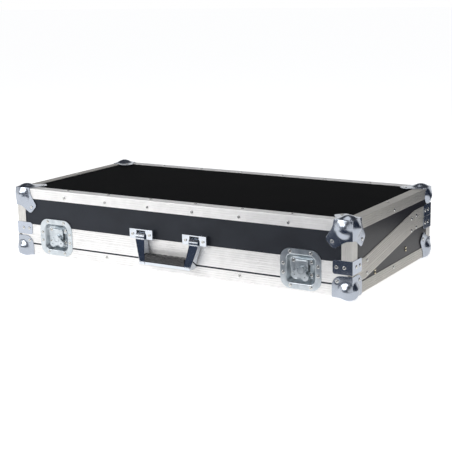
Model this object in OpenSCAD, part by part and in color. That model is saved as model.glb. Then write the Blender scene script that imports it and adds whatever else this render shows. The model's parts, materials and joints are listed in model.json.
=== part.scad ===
// Wedge-parted flight case: laminated boards in aluminium edge angles, chrome ball corners,
// two recessed butterfly latches, a drop handle in front and stop hinges at the rear.
// The case stands on its four lower ball corners. Front faces -Y, width runs along X.

/* [Case] */
// Width over the edge angles
case_w = 1074; // [980:1:1200]
// Depth over the edge angles
case_d = 523; // [480:1:600]
// Height over the edge angles
case_h = 195; // [188:1:240]
// Thickness of the laminated board
board_t = 9; // [7:0.5:10]
// Thickness of the foam lining
foam_t = 8; // [5:1:12]

/* [Seam] */
// Height of the seam in front, above the case's underside
seam_low = 58.4; // [57.5:0.1:62]
// Climb of the seam from front to rear
seam_rise = 58; // [45:1:62]
// Distance from the front face to the seam's lower kink
kink_low = 76; // [66:1:100]
// Distance from the rear face to the seam's upper kink
kink_rear = 118; // [103:1:143]
// Gap between lid and base along the seam
seam_gap = 0.4; // [0.3:0.1:0.8]

/* [Edge metal] */
// Leg of the edge angles
angle_leg = 29.5; // [26:0.5:32]
// Wall of the edge angles and seam extrusions
metal_t = 1.5; // [1:0.1:2]
// Radius of the angles' outer arris
arris_r = 1.5; // [0.8:0.1:2.5]
// Spacing of the fine lengthwise grooves
groove_pitch = 6.1; // [5:0.1:7]
// Width of a fine groove
groove_w = 1.4; // [1:0.1:1.8]
// Depth of a fine groove
groove_depth = 0.9; // [0.4:0.05:1]
// Height of the lid's seam extrusion
lid_band = 31; // [28:0.5:34]
// Height of the base's seam extrusion
base_band = 24.2; // [23:0.2:26]
// Height of the extrusions' inner flange
inner_flange = 14; // [12:0.5:16]
// Height of the base's tongue
tongue_h = 4; // [3:0.1:4.4]
// Width of the tongue at its foot
tongue_w = 3; // [2.4:0.1:4]
// Width of the tongue at its tip
tongue_tip_w = 2; // [1.4:0.1:2.2]
// Clearance over the tongue's tip
tongue_clear = 1; // [0.8:0.1:1.6]

/* [Rivets] */
// Diameter of a rivet's head
head_d = 9.5; // [8:0.1:10]
// Height of a rivet's head
head_h = 1.7; // [1.2:0.1:2]
// Diameter of a rivet's shank
shank_d = 4.8; // [4:0.1:5]
// Radial clearance of a shank in its hole
shank_clear = 0.1; // [0.05:0.05:0.2]
// Diameter of the mandrel hole in a head
mandrel_d = 2.6; // [2:0.1:3]
// Board left in front of a shank's end
rivet_short = 1.2; // [0.8:0.1:2]
// Spacing of the rivets along the wide edge angles
rivet_pitch = 144; // [120:1:150]
// Distance of the rivet rows from the arris
rivet_line = 19.5; // [18:0.5:21]

/* [Ball corners] */
// Sheet thickness of corners, braces and latch flanges
plate_t = 1.5; // [1:0.1:2]
// How far the balls stand out from the case's faces
ball_proud = 11; // [10.9:0.1:12]
// Radius of the large balls
ball_r = 32; // [30:0.5:34]
// Radius of the small balls at the base's front
small_ball_r = 26; // [24:0.5:27]
// Length of a large corner along an edge
corner_edge = 51; // [48:1:54]
// Reach of a leg along the face's diagonal
leg_reach = 88; // [82:1:92]
// Half the width of a leg
leg_half = 19.2; // [17:0.2:21]
// Radius of a leg's two tip corners
leg_round = 10; // [7:0.5:12]
// Radius of the concave flank between edge and leg
flank_r = 48.7; // [46:0.1:52]
// Distance of a leg's rivet from both edges
leg_rivet = 54.5; // [52:0.5:56]
// Size of a small corner's round plates
small_leg = 55; // [53:0.5:56]
// Radius of the small plates' free corner
small_round = 27; // [24:1:30]
// Distance of a small plate's rivet from both edges
small_rivet = 40.5; // [39:0.5:42]
// Width of the straight legs on the lid's rear corners
strap_w = 36; // [33:1:40]
// Length of the straight legs on the lid's rear corners
strap_h = 42; // [38:0.5:42]

/* [Braces] */
// Length of a brace's legs
brace_leg = 53; // [50:1:56]
// Height of a brace
brace_h = 35.5; // [33:0.5:35.5]
// Height of the lid's rear braces, below the balls
rear_brace_h = 33; // [30:0.5:33]
// Radius of a brace's corners
brace_round = 6; // [4:0.5:9]
// Distance of a brace's first rivet from the arris
brace_rivet_in = 21; // [19:1:23]
// Distance of a brace's second rivet from the arris
brace_rivet_out = 42; // [38:1:44]

/* [Latches] */
// Distance of the latches' middles from the case's sides
latch_side = 142; // [128:1:190]
// Width of a latch's flange
latch_w = 116; // [112:1:120]
// Height of a latch's flange
latch_h = 105; // [101:1:106]
// Corner radius of a latch's flange
latch_round = 29; // [24:1:32]
// Width of the dish's mouth
dish_w = 81; // [78:1:82]
// Height of the dish's mouth
dish_h = 73; // [72:1:74]
// Corner radius of the dish's mouth
dish_round = 15; // [12:1:18]
// Depth of the dish below the case's face
dish_depth = 12.5; // [12.2:0.1:14]
// How much the dish's walls lean in on each side
dish_draft = 7; // [5:0.5:8]
// Sheet thickness of the dish
dish_t = 1.2; // [0.8:0.1:1.4]
// Distance of the boss below the seam
boss_drop = 2.5; // [2:0.1:3]
// Radius of the boss
boss_r = 9; // [8:0.1:9.2]
// Radius of the boss's cover disc
disc_r = 13; // [12.6:0.1:13.2]
// Radius of the eccentric that drives the hook
cam_r = 8; // [7:0.1:8.2]
// Eccentricity, half of the hook's travel
cam_throw = 2.5; // [2:0.1:2.6]
// Radius of the stud that carries the boss
stud_r = 3; // [2.5:0.1:3.5]
// Radial running clearance of pins and studs
run_clear = 0.06; // [0.03:0.01:0.09]
// Radius within which the wing lies
wing_reach = 31; // [30:0.5:31.5]
// Radius of the wing's two lobes
wing_lobe = 10; // [9:0.5:11]
// Thickness of the wing's sheet
wing_t = 2; // [1.6:0.1:2]
// Radius of the wing's pin
wing_pin_r = 1.5; // [1.2:0.1:1.6]
// Half the width of the hook plate
hook_half = 17; // [16:0.5:17.5]
// Thickness of the hook plate
hook_t = 1.8; // [1.5:0.1:2]
// Radius of the roll on the hook's end
roll_r = 2.4; // [2:0.1:2.5]
// Height of the roll above the seam
roll_up = 21.5; // [20:0.5:22]
// Angle of the left wing as it is left when shut, degrees
wing_lean_left = 4; // [0:1:8]
// Angle of the right wing as it is left when shut, degrees
wing_lean_right = -9; // [-12:1:0]

/* [Handle] */
// Distance of the brackets from the case's middle
bracket_x = 86; // [82:1:100]
// Length of a bracket
bracket_w = 75; // [73:1:80]
// Height of a bracket
bracket_h = 26.5; // [25:0.5:28]
// How far a bracket stands out from the case's face
bracket_out = 13; // [12.5:0.5:15]
// Thickness of a bracket's back
bracket_t = 2; // [1.6:0.1:2]
// Thickness of a bracket's hood
hood_t = 3; // [2:0.1:3.2]
// Width of an arm at its pivot
arm_w = 28; // [26:1:30]
// Width of an arm at the grip
arm_low_w = 17; // [15:1:19]
// Distance of the pivot from the case's face
pivot_out = 8.5; // [8.5:0.1:9.5]
// Radius of an arm's heel around the pivot
heel_r = 7.4; // [7:0.1:7.6]
// Radius of the pivot pins
pivot_r = 2.5; // [2:0.1:3]
// Drop from the pivot to the bail's lower edge
bail_drop = 78; // [72:1:84]
// How far the bail's front stands out at the grip
bail_out = 31; // [29:0.5:33]
// Thickness of the bail's cross strip
strip_t = 7.5; // [6:0.5:9]
// Height of the grip
grip_h = 21; // [19:0.5:23]
// Depth of the grip, front to rear
grip_d = 25; // [23:0.5:25]
// Width of the grip's finger grooves
flute_w = 2; // [1.5:0.25:2.5]

/* [Hinges] */
// Distance of the hinges from the case's middle
hinge_x = 330; // [250:1:400]
// Width of a hinge
hinge_w = 80; // [70:1:100]
// Distance of the hinge pin from the rear face
hinge_out = 4.6; // [4.6:0.1:4.8]
// Outer radius of the knuckles
knuckle_r = 4.2; // [4:0.1:4.2]
// Radius of the hinge pin
hinge_pin_r = 2.4; // [2:0.1:2.6]
// Thickness of the leaves
leaf_t = 2; // [1.5:0.1:2.2]
// Opening angle at which the stops meet, degrees
open_stop = 100; // [90:1:105]

/* [Side fittings] */
// Distance of the front bolts from the front face
bolt_front_y = 140; // [138:1:150]
// Height of the front bolts' middle
bolt_front_z = 37.1; // [37:0.1:37.3]
// Distance of the rear bolts from the front face
bolt_rear_y = 345; // [330:1:360]
// Height of the rear bolts' middle
bolt_rear_z = 52; // [48:0.5:56]
// Spacing of the two bolts of a pair
bolt_pitch = 7.4; // [7.2:0.1:7.6]
// Diameter of the bolts
bolt_d = 4; // [3:0.5:4]
// Diameter of the bolt heads
bolt_head_d = 6.6; // [6:0.1:6.8]
// Length of the inner angle brackets
support_l = 40; // [30:1:50]
// Leg of the inner angle brackets
support_leg = 22; // [21:1:26]
// Radius of the equipment holes in the brackets
support_hole_r = 2.75; // [2.5:0.05:3]

/* [Hidden] */
$fn = 48;

// Overrun of cuts past the faces that they open
over = 1;
// Gap between neighbouring pieces that are only laid together
lay_gap = 0.2;
// Thickness of the end slices that a leaning wall is stretched between
slice = 0.01;

// The seam: its upper height, its slope and the levels along it
seam_high = seam_low + seam_rise;
kink_high = case_d - kink_rear;
slope = atan(seam_rise / (kink_high - kink_low));
wall_in = metal_t + board_t;
band_in = wall_in + metal_t;
half_gap = seam_gap / 2;
groove_floor = tongue_h + tongue_clear;
web_top = groove_floor + metal_t;
edge = case_w / 2;
latch_x = edge - latch_side;

// Latch layers, as depths below the case's face: wing, pin, disc, eccentric with the hook, plate
layer_gap = 0.4;
wing_top = 0.8;
ear_r = 2 * wing_pin_r;
ear_w = 3;
ear_gap = 0.6;
ear_up = 2;
pin_cover = 1;
pin_depth = wing_t - wing_top + pin_cover;
disc_depth = pin_depth + ear_r + layer_gap;
disc_t = 1.4;
hook_depth = disc_depth + disc_t + layer_gap;
cam_end = hook_depth + hook_t + layer_gap;
plate_depth = cam_end + layer_gap;
plate_sheet = 1.7;
boss_top = 0.9;
stud_end = pin_depth + wing_pin_r + 2 * layer_gap;
boss_clear = 1;
wing_cut = boss_r + boss_clear;
strike_t = 1.7;
strike_w = 58;
strike_low = 11;
strike_high = 25;
mech_w = 24;
mech_low = -24;
mech_high = 3;
foot_high = -7;
floor_rivet_x = 25.5;
strike_rivet_y = 19;
plate_rivet_y = -15;

// Handle and hinge values
pivot_drop = 1;
bracket_z = seam_low + lid_band + lay_gap;
pivot_z = bracket_z + bracket_h / 2 - pivot_drop;
knuckle_clear = 0.8;
leaf_start = knuckle_r + knuckle_clear;
leaf_top = 29;
leaf_bottom = 23;
hinge_rivet_x = 29;
hinge_rivet_lid = 19;
hinge_rivet_base = 16;

// Height of the seam at a distance from the front
function seam_z(y) = seam_low + seam_rise * min(1, max(0, (y - kink_low) / (kink_high - kink_low)));

// The object's box: handle in front, balls behind
front_reach = bail_out;
box_mid_y = (case_d + ball_proud - front_reach) / 2;

// The case's own frame: front face at y = 0, underside at z = 0
module place() {
    translate([0, -box_mid_y, ball_proud])
        children();
}

// Both halves of a symmetrical pair
module pair() {
    children();
    mirror([1, 0, 0])
        children();
}

// Places on the six faces, with +z pointing out of the face
module on_face(face, a, b) {
    if (face == "front") translate([a, 0, b]) rotate([90, 0, 0]) children();
    if (face == "rear") translate([a, case_d, b]) rotate([90, 0, 180]) children();
    if (face == "left") translate([-case_w / 2, a, b]) rotate([90, 0, -90]) children();
    if (face == "right") translate([case_w / 2, a, b]) rotate([90, 0, 90]) children();
    if (face == "top") translate([a, b, case_h]) children();
    if (face == "bottom") translate([a, b, 0]) rotate([180, 0, 0]) children();
}

// Points of an arc about c
function arc(c, r, from, to, steps) =
    [for (i = [0 : steps]) let (t = from + (to - from) * i / steps) c + r * [cos(t), sin(t)]];

// A rectangle with round corners, middle at the origin
module round_rect(w, h, r) {
    square([w - 2 * r, h], center = true);
    square([w, h - 2 * r], center = true);
    for (i = [-1, 1], j = [-1, 1])
        translate([i * (w / 2 - r), j * (h / 2 - r)])
            circle(r);
}

// A rectangle from the origin with one round corner, the far one
module round_tab(w, h, r) {
    square([w, h - r]);
    square([w - r, h]);
    translate([w - r, h - r])
        circle(r);
}

// Rivets
// Rows of rivets: face, two places on it, seat above the face, depth of the shank's end
board_reach = wall_in - rivet_short;
angle_shares = [-2.5, -1.5, -0.5, 0.5, 1.5, 2.5];
free_shares = [-1.5, -0.5, 0.5, 1.5];

function wide_rows(face, b, shares) = [for (s = shares) [face, s * rivet_pitch, b, 0, board_reach]];
function deep_rows(z) = [for (face = ["left", "right"]) [face, case_d / 2, z, 0, board_reach]];
function deep_flat_rows(face) =
    [for (s = [-1, 1]) [face, s * (edge - rivet_line), case_d / 2, 0, board_reach]];

lid_angle_rows = concat(
    wide_rows("front", case_h - rivet_line, angle_shares),
    wide_rows("rear", case_h - rivet_line, angle_shares),
    wide_rows("top", rivet_line, angle_shares),
    wide_rows("top", case_d - rivet_line, angle_shares),
    deep_rows(case_h - rivet_line), deep_flat_rows("top"));
base_angle_rows = concat(
    wide_rows("front", rivet_line, free_shares),
    wide_rows("rear", rivet_line, angle_shares),
    wide_rows("bottom", rivet_line, angle_shares),
    wide_rows("bottom", case_d - rivet_line, angle_shares),
    deep_rows(rivet_line), deep_flat_rows("bottom"));

// A corner's three rivets, at the same distance from both edges of each face
function corner_rows(d, y, z, upright, level) = [for (s = [-1, 1])
    each [[upright, s * (edge - d), z, plate_t, board_reach],
        [s < 0 ? "left" : "right", y, z, plate_t, board_reach],
        [level, s * (edge - d), y, plate_t, board_reach]]];
lid_corner_front_rows = corner_rows(leg_rivet, leg_rivet, case_h - leg_rivet, "front", "top");
lid_corner_rear_rows = [for (s = [-1, 1])
    ["top", s * (edge - leg_rivet), case_d - leg_rivet, plate_t, board_reach]];
base_corner_front_rows = corner_rows(small_rivet, small_rivet, small_rivet, "front", "bottom");
base_corner_rear_rows = corner_rows(leg_rivet, case_d - leg_rivet, leg_rivet, "rear", "bottom");

// A brace's rivets: two on each of its legs, at mid height
brace_mid = seam_gap + brace_h / 2;
rear_brace_mid = seam_gap + rear_brace_h / 2;
function brace_rows(face, far, z) = [for (s = [-1, 1], d = [brace_rivet_in, brace_rivet_out])
    each [[face, s * (edge - d), z, plate_t, board_reach],
        [s < 0 ? "left" : "right", far ? case_d - d : d, z, plate_t, board_reach]]];
lid_brace_rows = concat(brace_rows("front", false, seam_low + brace_mid),
    brace_rows("rear", true, seam_high + rear_brace_mid));
base_brace_rows = brace_rows("rear", true, seam_high - brace_mid);

// Rivets beside the seam's kinks, as distance from a kink and height above the seam
kink_past = 12.5;
kink_before = 21;
lid_low_up = 17.5;
lid_high_up = 15;
base_low_down = 14.5;
base_high_down = 18;
lid_kink_spots = [[kink_low + kink_past, lid_low_up], [kink_high - kink_before, lid_high_up],
    [kink_high + kink_past, lid_high_up]];
base_kink_spots = [[kink_low + kink_past, -base_low_down], [kink_high - kink_before, -base_high_down],
    [kink_high + kink_past, -base_high_down]];
function kink_rows(spots) = [for (face = ["left", "right"], p = spots)
    [face, p[0], seam_z(p[0]) + p[1], 0, board_reach]];

// Rivets of the latch flanges, as places from the latch's middle
side_rivet_up = 12;
top_rivet_out = 29.3;
flange_side = [(latch_w + dish_w) / 4, side_rivet_up];
flange_top = [top_rivet_out, (latch_h + dish_h) / 4];
function latch_rows(up) = [for (s = [-1, 1], t = [-1, 1], p = [flange_side, flange_top])
    ["front", s * latch_x + t * p[0], seam_low + up * p[1], plate_t, board_reach]];

// Rivets in the dishes' floors, and those of the hinge leaves
function floor_rows(y, seat) = [for (s = [-1, 1], t = [-1, 1])
    ["front", s * latch_x + t * floor_rivet_x, seam_low + y, seat, dish_depth + dish_t]];
lid_floor_rows = floor_rows(strike_rivet_y, strike_t - dish_depth);
base_floor_rows = floor_rows(plate_rivet_y, -plate_depth);
function hinge_rows(z) = [for (s = [-1, 1], t = [-1, 1])
    ["rear", s * hinge_x + t * hinge_rivet_x, seam_high + z, leaf_t, board_reach]];
lid_hinge_rows = hinge_rows(hinge_rivet_lid);
base_hinge_rows = hinge_rows(-hinge_rivet_base);

lid_panel_rows = concat(lid_angle_rows, lid_corner_front_rows, lid_corner_rear_rows, lid_brace_rows,
    kink_rows(lid_kink_spots), latch_rows(1), lid_hinge_rows);
base_panel_rows = concat(base_angle_rows, base_corner_front_rows, base_corner_rear_rows,
    base_brace_rows, kink_rows(base_kink_spots), latch_rows(-1), base_hinge_rows);

// The pieces of a rivet
crown_shares = [[1, 0], [1, 0.3], [0.82, 0.72], [0.55, 0.95], [0.42, 1]];
module rivet(seat, reach) {
    head_r = head_d / 2;
    translate([0, 0, seat])
        rotate_extrude()
            polygon(concat([[0, 0]], [for (c = crown_shares) [c[0] * head_r, c[1] * head_h]],
                [[mandrel_d / 2, head_h], [mandrel_d / 2, head_h / 3], [0, head_h / 3]]));
    translate([0, 0, -reach])
        cylinder(d = shank_d, h = reach + seat);
}

module rivets(rows) {
    for (r = rows)
        on_face(r[0], r[1], r[2])
            rivet(r[3], r[4]);
}

module bores(rows) {
    for (r = rows)
        on_face(r[0], r[1], r[2])
            translate([0, 0, -r[4] - lay_gap])
                cylinder(d = shank_d + 2 * shank_clear, h = r[4] + r[3] + lay_gap + over);
}

// Rows of one face only, so that a piece is drilled by what goes through it
function on(rows, face) = [for (r = rows) if (r[0] == face) r];

// Boards
board_edge = (web_top + lay_gap) / cos(slope);
base_edge = (half_gap + metal_t + lay_gap) / cos(slope);
cutout_w = dish_w + 2 * dish_t + over;
cutout_h = dish_h + 2 * dish_t + over;

module latch_cutouts() {
    pair()
        on_face("front", latch_x, seam_low)
            translate([0, 0, -band_in - over])
                linear_extrude(band_in + 2 * over)
                    round_rect(cutout_w, cutout_h, dish_round);
}

module board_x(y, z0, z1) {
    translate([-edge + metal_t, y, z0])
        cube([case_w - 2 * metal_t, board_t, z1 - z0]);
}

module lid_top_board() place() color("#17181b") {
    difference() {
        translate([-edge + metal_t, metal_t, case_h - wall_in])
            cube([case_w - 2 * metal_t, case_d - 2 * metal_t, board_t]);
        bores(on(lid_panel_rows, "top"));
    }
}

module lid_front_board() place() color("#24262b") {
    difference() {
        board_x(metal_t, seam_low + board_edge, case_h - wall_in);
        bores(on(lid_panel_rows, "front"));
        latch_cutouts();
        screw_bores();
    }
}

module lid_rear_board() place() color("#24262b") {
    difference() {
        board_x(case_d - wall_in, seam_high + board_edge, case_h - wall_in);
        bores(on(lid_panel_rows, "rear"));
    }
}

// A side board stands between the front and rear boards, its seam edge follows the kinks
module side_board(level, off) {
    translate([edge - wall_in, 0, 0])
        rotate([90, 0, 90])
            linear_extrude(board_t)
                polygon([[wall_in, level], [wall_in, seam_low + off], [kink_low, seam_low + off],
                    [kink_high, seam_high + off], [case_d - wall_in, seam_high + off],
                    [case_d - wall_in, level]]);
}

module lid_side_board(face) {
    difference() {
        if (face == "right") side_board(case_h - wall_in, board_edge);
        else mirror([1, 0, 0]) side_board(case_h - wall_in, board_edge);
        bores(on(lid_panel_rows, face));
    }
}

module lid_left_board() place() color("#2c2d31") lid_side_board("left");

module lid_right_board() place() color("#2c2d31") lid_side_board("right");

module base_bottom_board() place() color("#17181b") {
    difference() {
        translate([-edge + metal_t, metal_t, metal_t])
            cube([case_w - 2 * metal_t, case_d - 2 * metal_t, board_t]);
        bores(on(base_panel_rows, "bottom"));
    }
}

module base_front_board() place() color("#24262b") {
    difference() {
        board_x(metal_t, wall_in, seam_low - base_edge);
        bores(on(base_panel_rows, "front"));
        latch_cutouts();
    }
}

module base_rear_board() place() color("#24262b") {
    difference() {
        board_x(case_d - wall_in, wall_in, seam_high - base_edge);
        bores(on(base_panel_rows, "rear"));
    }
}

module base_side_board(face) {
    difference() {
        if (face == "right") side_board(wall_in, -base_edge);
        else mirror([1, 0, 0]) side_board(wall_in, -base_edge);
        bores(on(base_panel_rows, face));
        side_bolt_bores();
    }
}

module base_left_board() place() color("#2c2d31") base_side_board("left");

module base_right_board() place() color("#2c2d31") base_side_board("right");

// Edge angles
// Fine grooves in a face that runs from one height to another, as points of an outline
function grooves(low, high) =
    let (count = max(1, floor((high - low) / groove_pitch)), first = (low + high) / 2
        - (count - 1) / 2 * groove_pitch)
    [for (i = [0 : count - 1]) let (c = first + i * groove_pitch)
        each [[0, c - groove_w / 2], [groove_depth, c], [0, c + groove_w / 2]]];
function reversed(p) = [for (i = [len(p) - 1 : -1 : 0]) p[i]];
function swapped(p) = [for (q = p) [q[1], q[0]]];

// Section of an edge angle: its arris at the origin, its legs along +x and +y
angle_section = concat(
    arc([arris_r, arris_r], arris_r, 180, 270, 6),
    swapped(grooves(arris_r, angle_leg)),
    [[angle_leg, 0], [angle_leg, metal_t], [metal_t, metal_t], [metal_t, angle_leg], [0, angle_leg]],
    reversed(grooves(arris_r, angle_leg)));

module angle_bar(length) {
    linear_extrude(length)
        polygon(angle_section);
}

// Lengths along the front and rear, lying on the plane z = 0 with the legs up and inwards
module wide_angles() {
    for (far = [0, 1])
        translate([0, far * case_d, 0])
            mirror([0, far, 0])
                translate([-edge, 0, 0])
                    rotate([90, 0, 90])
                        angle_bar(case_w);
}

module deep_angles() {
    pair()
        translate([edge, case_d - angle_leg - lay_gap, 0])
            rotate([90, 0, 0])
                mirror([1, 0, 0])
                    angle_bar(case_d - 2 * angle_leg - 2 * lay_gap);
}

module at_top() {
    translate([0, 0, case_h])
        mirror([0, 0, 1])
            children();
}

module lid_wide_angles() place() color("#e4e4e2") {
    difference() {
        at_top() wide_angles();
        bores(lid_angle_rows);
    }
}

module lid_deep_angles() place() color("#c4c3bf") {
    difference() {
        at_top() deep_angles();
        bores(concat(deep_rows(case_h - rivet_line), deep_flat_rows("top")));
    }
}

module base_wide_angles() place() color("#e4e4e2") {
    difference() {
        wide_angles();
        bores(base_angle_rows);
        bores(on(latch_rows(-1), "front"));
        latch_cutouts();
    }
}

module base_deep_angles() place() color("#c4c3bf") {
    difference() {
        deep_angles();
        bores(concat(deep_rows(rivet_line), deep_flat_rows("bottom")));
    }
}

// An upright length on the right-hand front edge, moved to the rear by far
module post(far, z0, z1) {
    translate([0, far * case_d, 0])
        mirror([0, far, 0])
            translate([edge, 0, z0])
                mirror([1, 0, 0])
                    angle_bar(z1 - z0);
}

module lid_posts() place() color("#d8d8d5") {
    pair() {
        post(0, seam_low + lid_band + lay_gap, case_h - angle_leg - lay_gap);
        post(1, seam_high + lid_band + lay_gap, case_h - angle_leg - lay_gap);
    }
}

module base_posts() place() color("#c4c3bf") {
    pair()
        post(1, angle_leg + lay_gap, seam_high - base_band - lay_gap);
}

// Seam extrusions
// Sections with x as the depth below the face and y as the height above the seam
tongue_mid = metal_t + board_t / 2;
lid_section = concat(
    [[0, half_gap]], grooves(half_gap, lid_band), [[0, lid_band], [metal_t, lid_band],
    [metal_t, web_top], [wall_in, web_top], [wall_in, inner_flange], [band_in, inner_flange],
    [band_in, half_gap], [wall_in, half_gap], [wall_in, groove_floor], [metal_t, groove_floor],
    [metal_t, half_gap]]);
base_section = concat(
    [[0, -base_band]], grooves(-base_band, -half_gap), [[0, -half_gap],
    [tongue_mid - tongue_w / 2, -half_gap], [tongue_mid - tongue_tip_w / 2, tongue_h - half_gap],
    [tongue_mid + tongue_tip_w / 2, tongue_h - half_gap], [tongue_mid + tongue_w / 2, -half_gap],
    [band_in, -half_gap], [band_in, -inner_flange], [wall_in, -inner_flange],
    [wall_in, -half_gap - metal_t], [metal_t, -half_gap - metal_t], [metal_t, -base_band]]);

module seam_front(section) {
    translate([-edge + band_in + lay_gap, 0, seam_low])
        rotate([90, 0, 90])
            linear_extrude(case_w - 2 * (band_in + lay_gap))
                polygon(section);
}

module seam_rear(section) {
    translate([0, case_d, seam_high - seam_low])
        mirror([0, 1, 0])
            seam_front(section);
}

// One stretch on the right side, drawn long and cut by upright planes at its two stations
module side_stretch(section, y0, y1, z0, tilt) {
    run = y1 - y0;
    intersection() {
        translate([edge, y0, z0])
            rotate([tilt, 0, 0])
                translate([0, -angle_leg, 0])
                    rotate([90, 0, 180])
                        linear_extrude(run / cos(tilt) + 2 * angle_leg)
                            polygon(section);
        translate([edge - band_in - over, y0, 0])
            cube([band_in + 2 * over, run, case_h]);
    }
}

// The inner flange stops short of the front and rear boards
module seam_side(section) {
    cut = lay_gap / 2;
    end_cut = wall_in + lay_gap + over;
    difference() {
        union() {
            side_stretch(section, 0, kink_low - cut, seam_low, 0);
            side_stretch(section, kink_low + cut, kink_high - cut, seam_low + cut * tan(slope), slope);
            side_stretch(section, kink_high + cut, case_d, seam_high, 0);
        }
        for (y = [-over, case_d + over - end_cut])
            translate([edge - band_in - over, y, 0])
                cube([metal_t + over, end_cut, case_h]);
    }
}

module lid_seam_front() place() color("#eeeeec") {
    difference() {
        seam_front(lid_section);
        bores(on(concat(lid_brace_rows, latch_rows(1)), "front"));
        latch_cutouts();
    }
}

module lid_seam_rear() place() color("#c4c3bf") {
    difference() {
        seam_rear(lid_section);
        bores(on(concat(lid_brace_rows, lid_hinge_rows), "rear"));
    }
}

module lid_seam_right() place() color("#b9b7b2") {
    difference() {
        seam_side(lid_section);
        bores(on(concat(lid_brace_rows, kink_rows(lid_kink_spots)), "right"));
    }
}

module lid_seam_left() place() color("#b9b7b2") {
    difference() {
        mirror([1, 0, 0]) seam_side(lid_section);
        bores(on(concat(lid_brace_rows, kink_rows(lid_kink_spots)), "left"));
    }
}

module base_seam_front() place() color("#eeeeec") {
    difference() {
        seam_front(base_section);
        bores(on(concat(base_corner_front_rows, latch_rows(-1)), "front"));
        latch_cutouts();
    }
}

module base_seam_rear() place() color("#c4c3bf") {
    difference() {
        seam_rear(base_section);
        bores(on(concat(base_brace_rows, base_hinge_rows), "rear"));
    }
}

module base_seam_right() place() color("#b9b7b2") {
    difference() {
        seam_side(base_section);
        bores(on(concat(base_corner_front_rows, base_brace_rows, kink_rows(base_kink_spots)), "right"));
    }
}

module base_seam_left() place() color("#b9b7b2") {
    difference() {
        mirror([1, 0, 0]) seam_side(base_section);
        bores(on(concat(base_corner_front_rows, base_brace_rows, kink_rows(base_kink_spots)), "left"));
    }
}

// Ball corners
// Outline of a leg from the corner: along one edge, round the tongue on the diagonal, and back
flank_turn = 41;
tip_a = leg_reach - leg_round;
tip_b = leg_half - leg_round;
function diagonal(a, b) = [a + b, a - b] / sqrt(2);
half_turn = 180;
leg_flank = arc([corner_edge + flank_r, 0], flank_r, half_turn, half_turn - flank_turn, 6);
leg_tip = [for (p = arc([tip_a, tip_b], leg_round, 90, 0, 5)) diagonal(p[0], p[1])];
leg_half_outline = concat([[0, 0]], leg_flank, leg_tip);
leg_outline = concat(leg_half_outline, reversed(swapped([for (i = [1 : len(leg_half_outline) - 1])
    leg_half_outline[i]])));

module leg_large() polygon(leg_outline);

module leg_small() round_tab(small_leg, small_leg, small_round);

module leg_strap() round_tab(strap_w, strap_h, brace_round);

// A corner cap at the origin of three faces that run along +x, +y and +z. Its children are the
// outlines on the z = 0 face, the y = 0 face and the x = 0 face, runs are its arrises' lengths
module cap(r, runs) {
    inset = r - ball_proud;
    difference() {
        union() {
            translate([0, 0, -plate_t])
                linear_extrude(plate_t)
                    children(0);
            rotate([90, 0, 0])
                linear_extrude(plate_t)
                    children(1);
            rotate([90, 0, 90])
                translate([0, 0, -plate_t])
                    linear_extrude(plate_t)
                        children(2);
            translate([inset, inset, inset])
                sphere(r);
            for (i = [0 : 2])
                translate([-plate_t, -plate_t, -plate_t])
                    cube([for (j = [0 : 2]) plate_t + (i == j ? runs[i] : 0)]);
        }
        translate([inset, inset, inset])
            sphere(r - plate_t);
        cube([case_w, case_d, case_h]);
    }
}

// Moves a corner cap to one of the case's eight corners
module to_corner(far, up) {
    translate([0, far * case_d, up * case_h])
        mirror([0, far, 0])
            mirror([0, 0, up])
                translate([edge, 0, 0])
                    mirror([1, 0, 0])
                        children();
}

module large_cap() {
    cap(ball_r, [corner_edge, corner_edge, corner_edge]) {
        leg_large();
        leg_large();
        leg_large();
    }
}

module lid_corners_front() place() color("#9aa3b2") {
    difference() {
        pair() to_corner(0, 1) large_cap();
        bores(lid_corner_front_rows);
    }
}

module lid_corners_rear() place() color("#6b7280") {
    difference() {
        pair()
            to_corner(1, 1)
                cap(ball_r, [strap_w, strap_w, strap_h]) {
                    leg_large();
                    leg_strap();
                    leg_strap();
                }
        bores(lid_corner_rear_rows);
    }
}

module base_corners_rear() place() color("#aeb4bd") {
    difference() {
        pair() to_corner(1, 0) large_cap();
        bores(base_corner_rear_rows);
    }
}

module base_corners_front() place() color("#b9c0cc") {
    difference() {
        pair()
            to_corner(0, 0)
                cap(small_ball_r, [small_leg, small_leg, small_leg]) {
                    leg_small();
                    leg_small();
                    leg_small();
                }
        bores(base_corner_front_rows);
    }
}

// Braces: angles of sheet round an upright arris, starting at the seam and running up
module brace_outline(h) {
    intersection() {
        translate([0, h / 2])
            round_rect(2 * brace_leg, h, brace_round);
        translate([-plate_t, 0])
            square([brace_leg + plate_t, h]);
    }
}

module brace(h) {
    for (turned = [0, 1])
        mirror([turned, -turned, 0])
            translate([0, 0, seam_gap])
                rotate([90, 0, 0])
                    linear_extrude(plate_t)
                        brace_outline(h);
}

module to_edge(far, z) {
    translate([0, far * case_d, z])
        mirror([0, far, 0])
            translate([edge, 0, 0])
                mirror([1, 0, 0])
                    children();
}

module lid_braces() place() color("#8a909c") {
    difference() {
        pair() {
            to_edge(0, seam_low) brace(brace_h);
            to_edge(1, seam_high) brace(rear_brace_h);
        }
        bores(lid_brace_rows);
    }
}

module base_braces() place() color("#6b7280") {
    difference() {
        pair()
            to_edge(1, seam_high) mirror([0, 0, 1]) brace(brace_h);
        bores(base_brace_rows);
    }
}

// Latches: x across, y up from the seam, z out of the case's face
floor_w = dish_w - 2 * dish_draft;
floor_h = dish_h - 2 * dish_draft;
floor_round = dish_round - dish_draft / 2;

module at_latch(side) {
    place()
        on_face("front", side * latch_x, seam_low)
            children();
}

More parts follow.
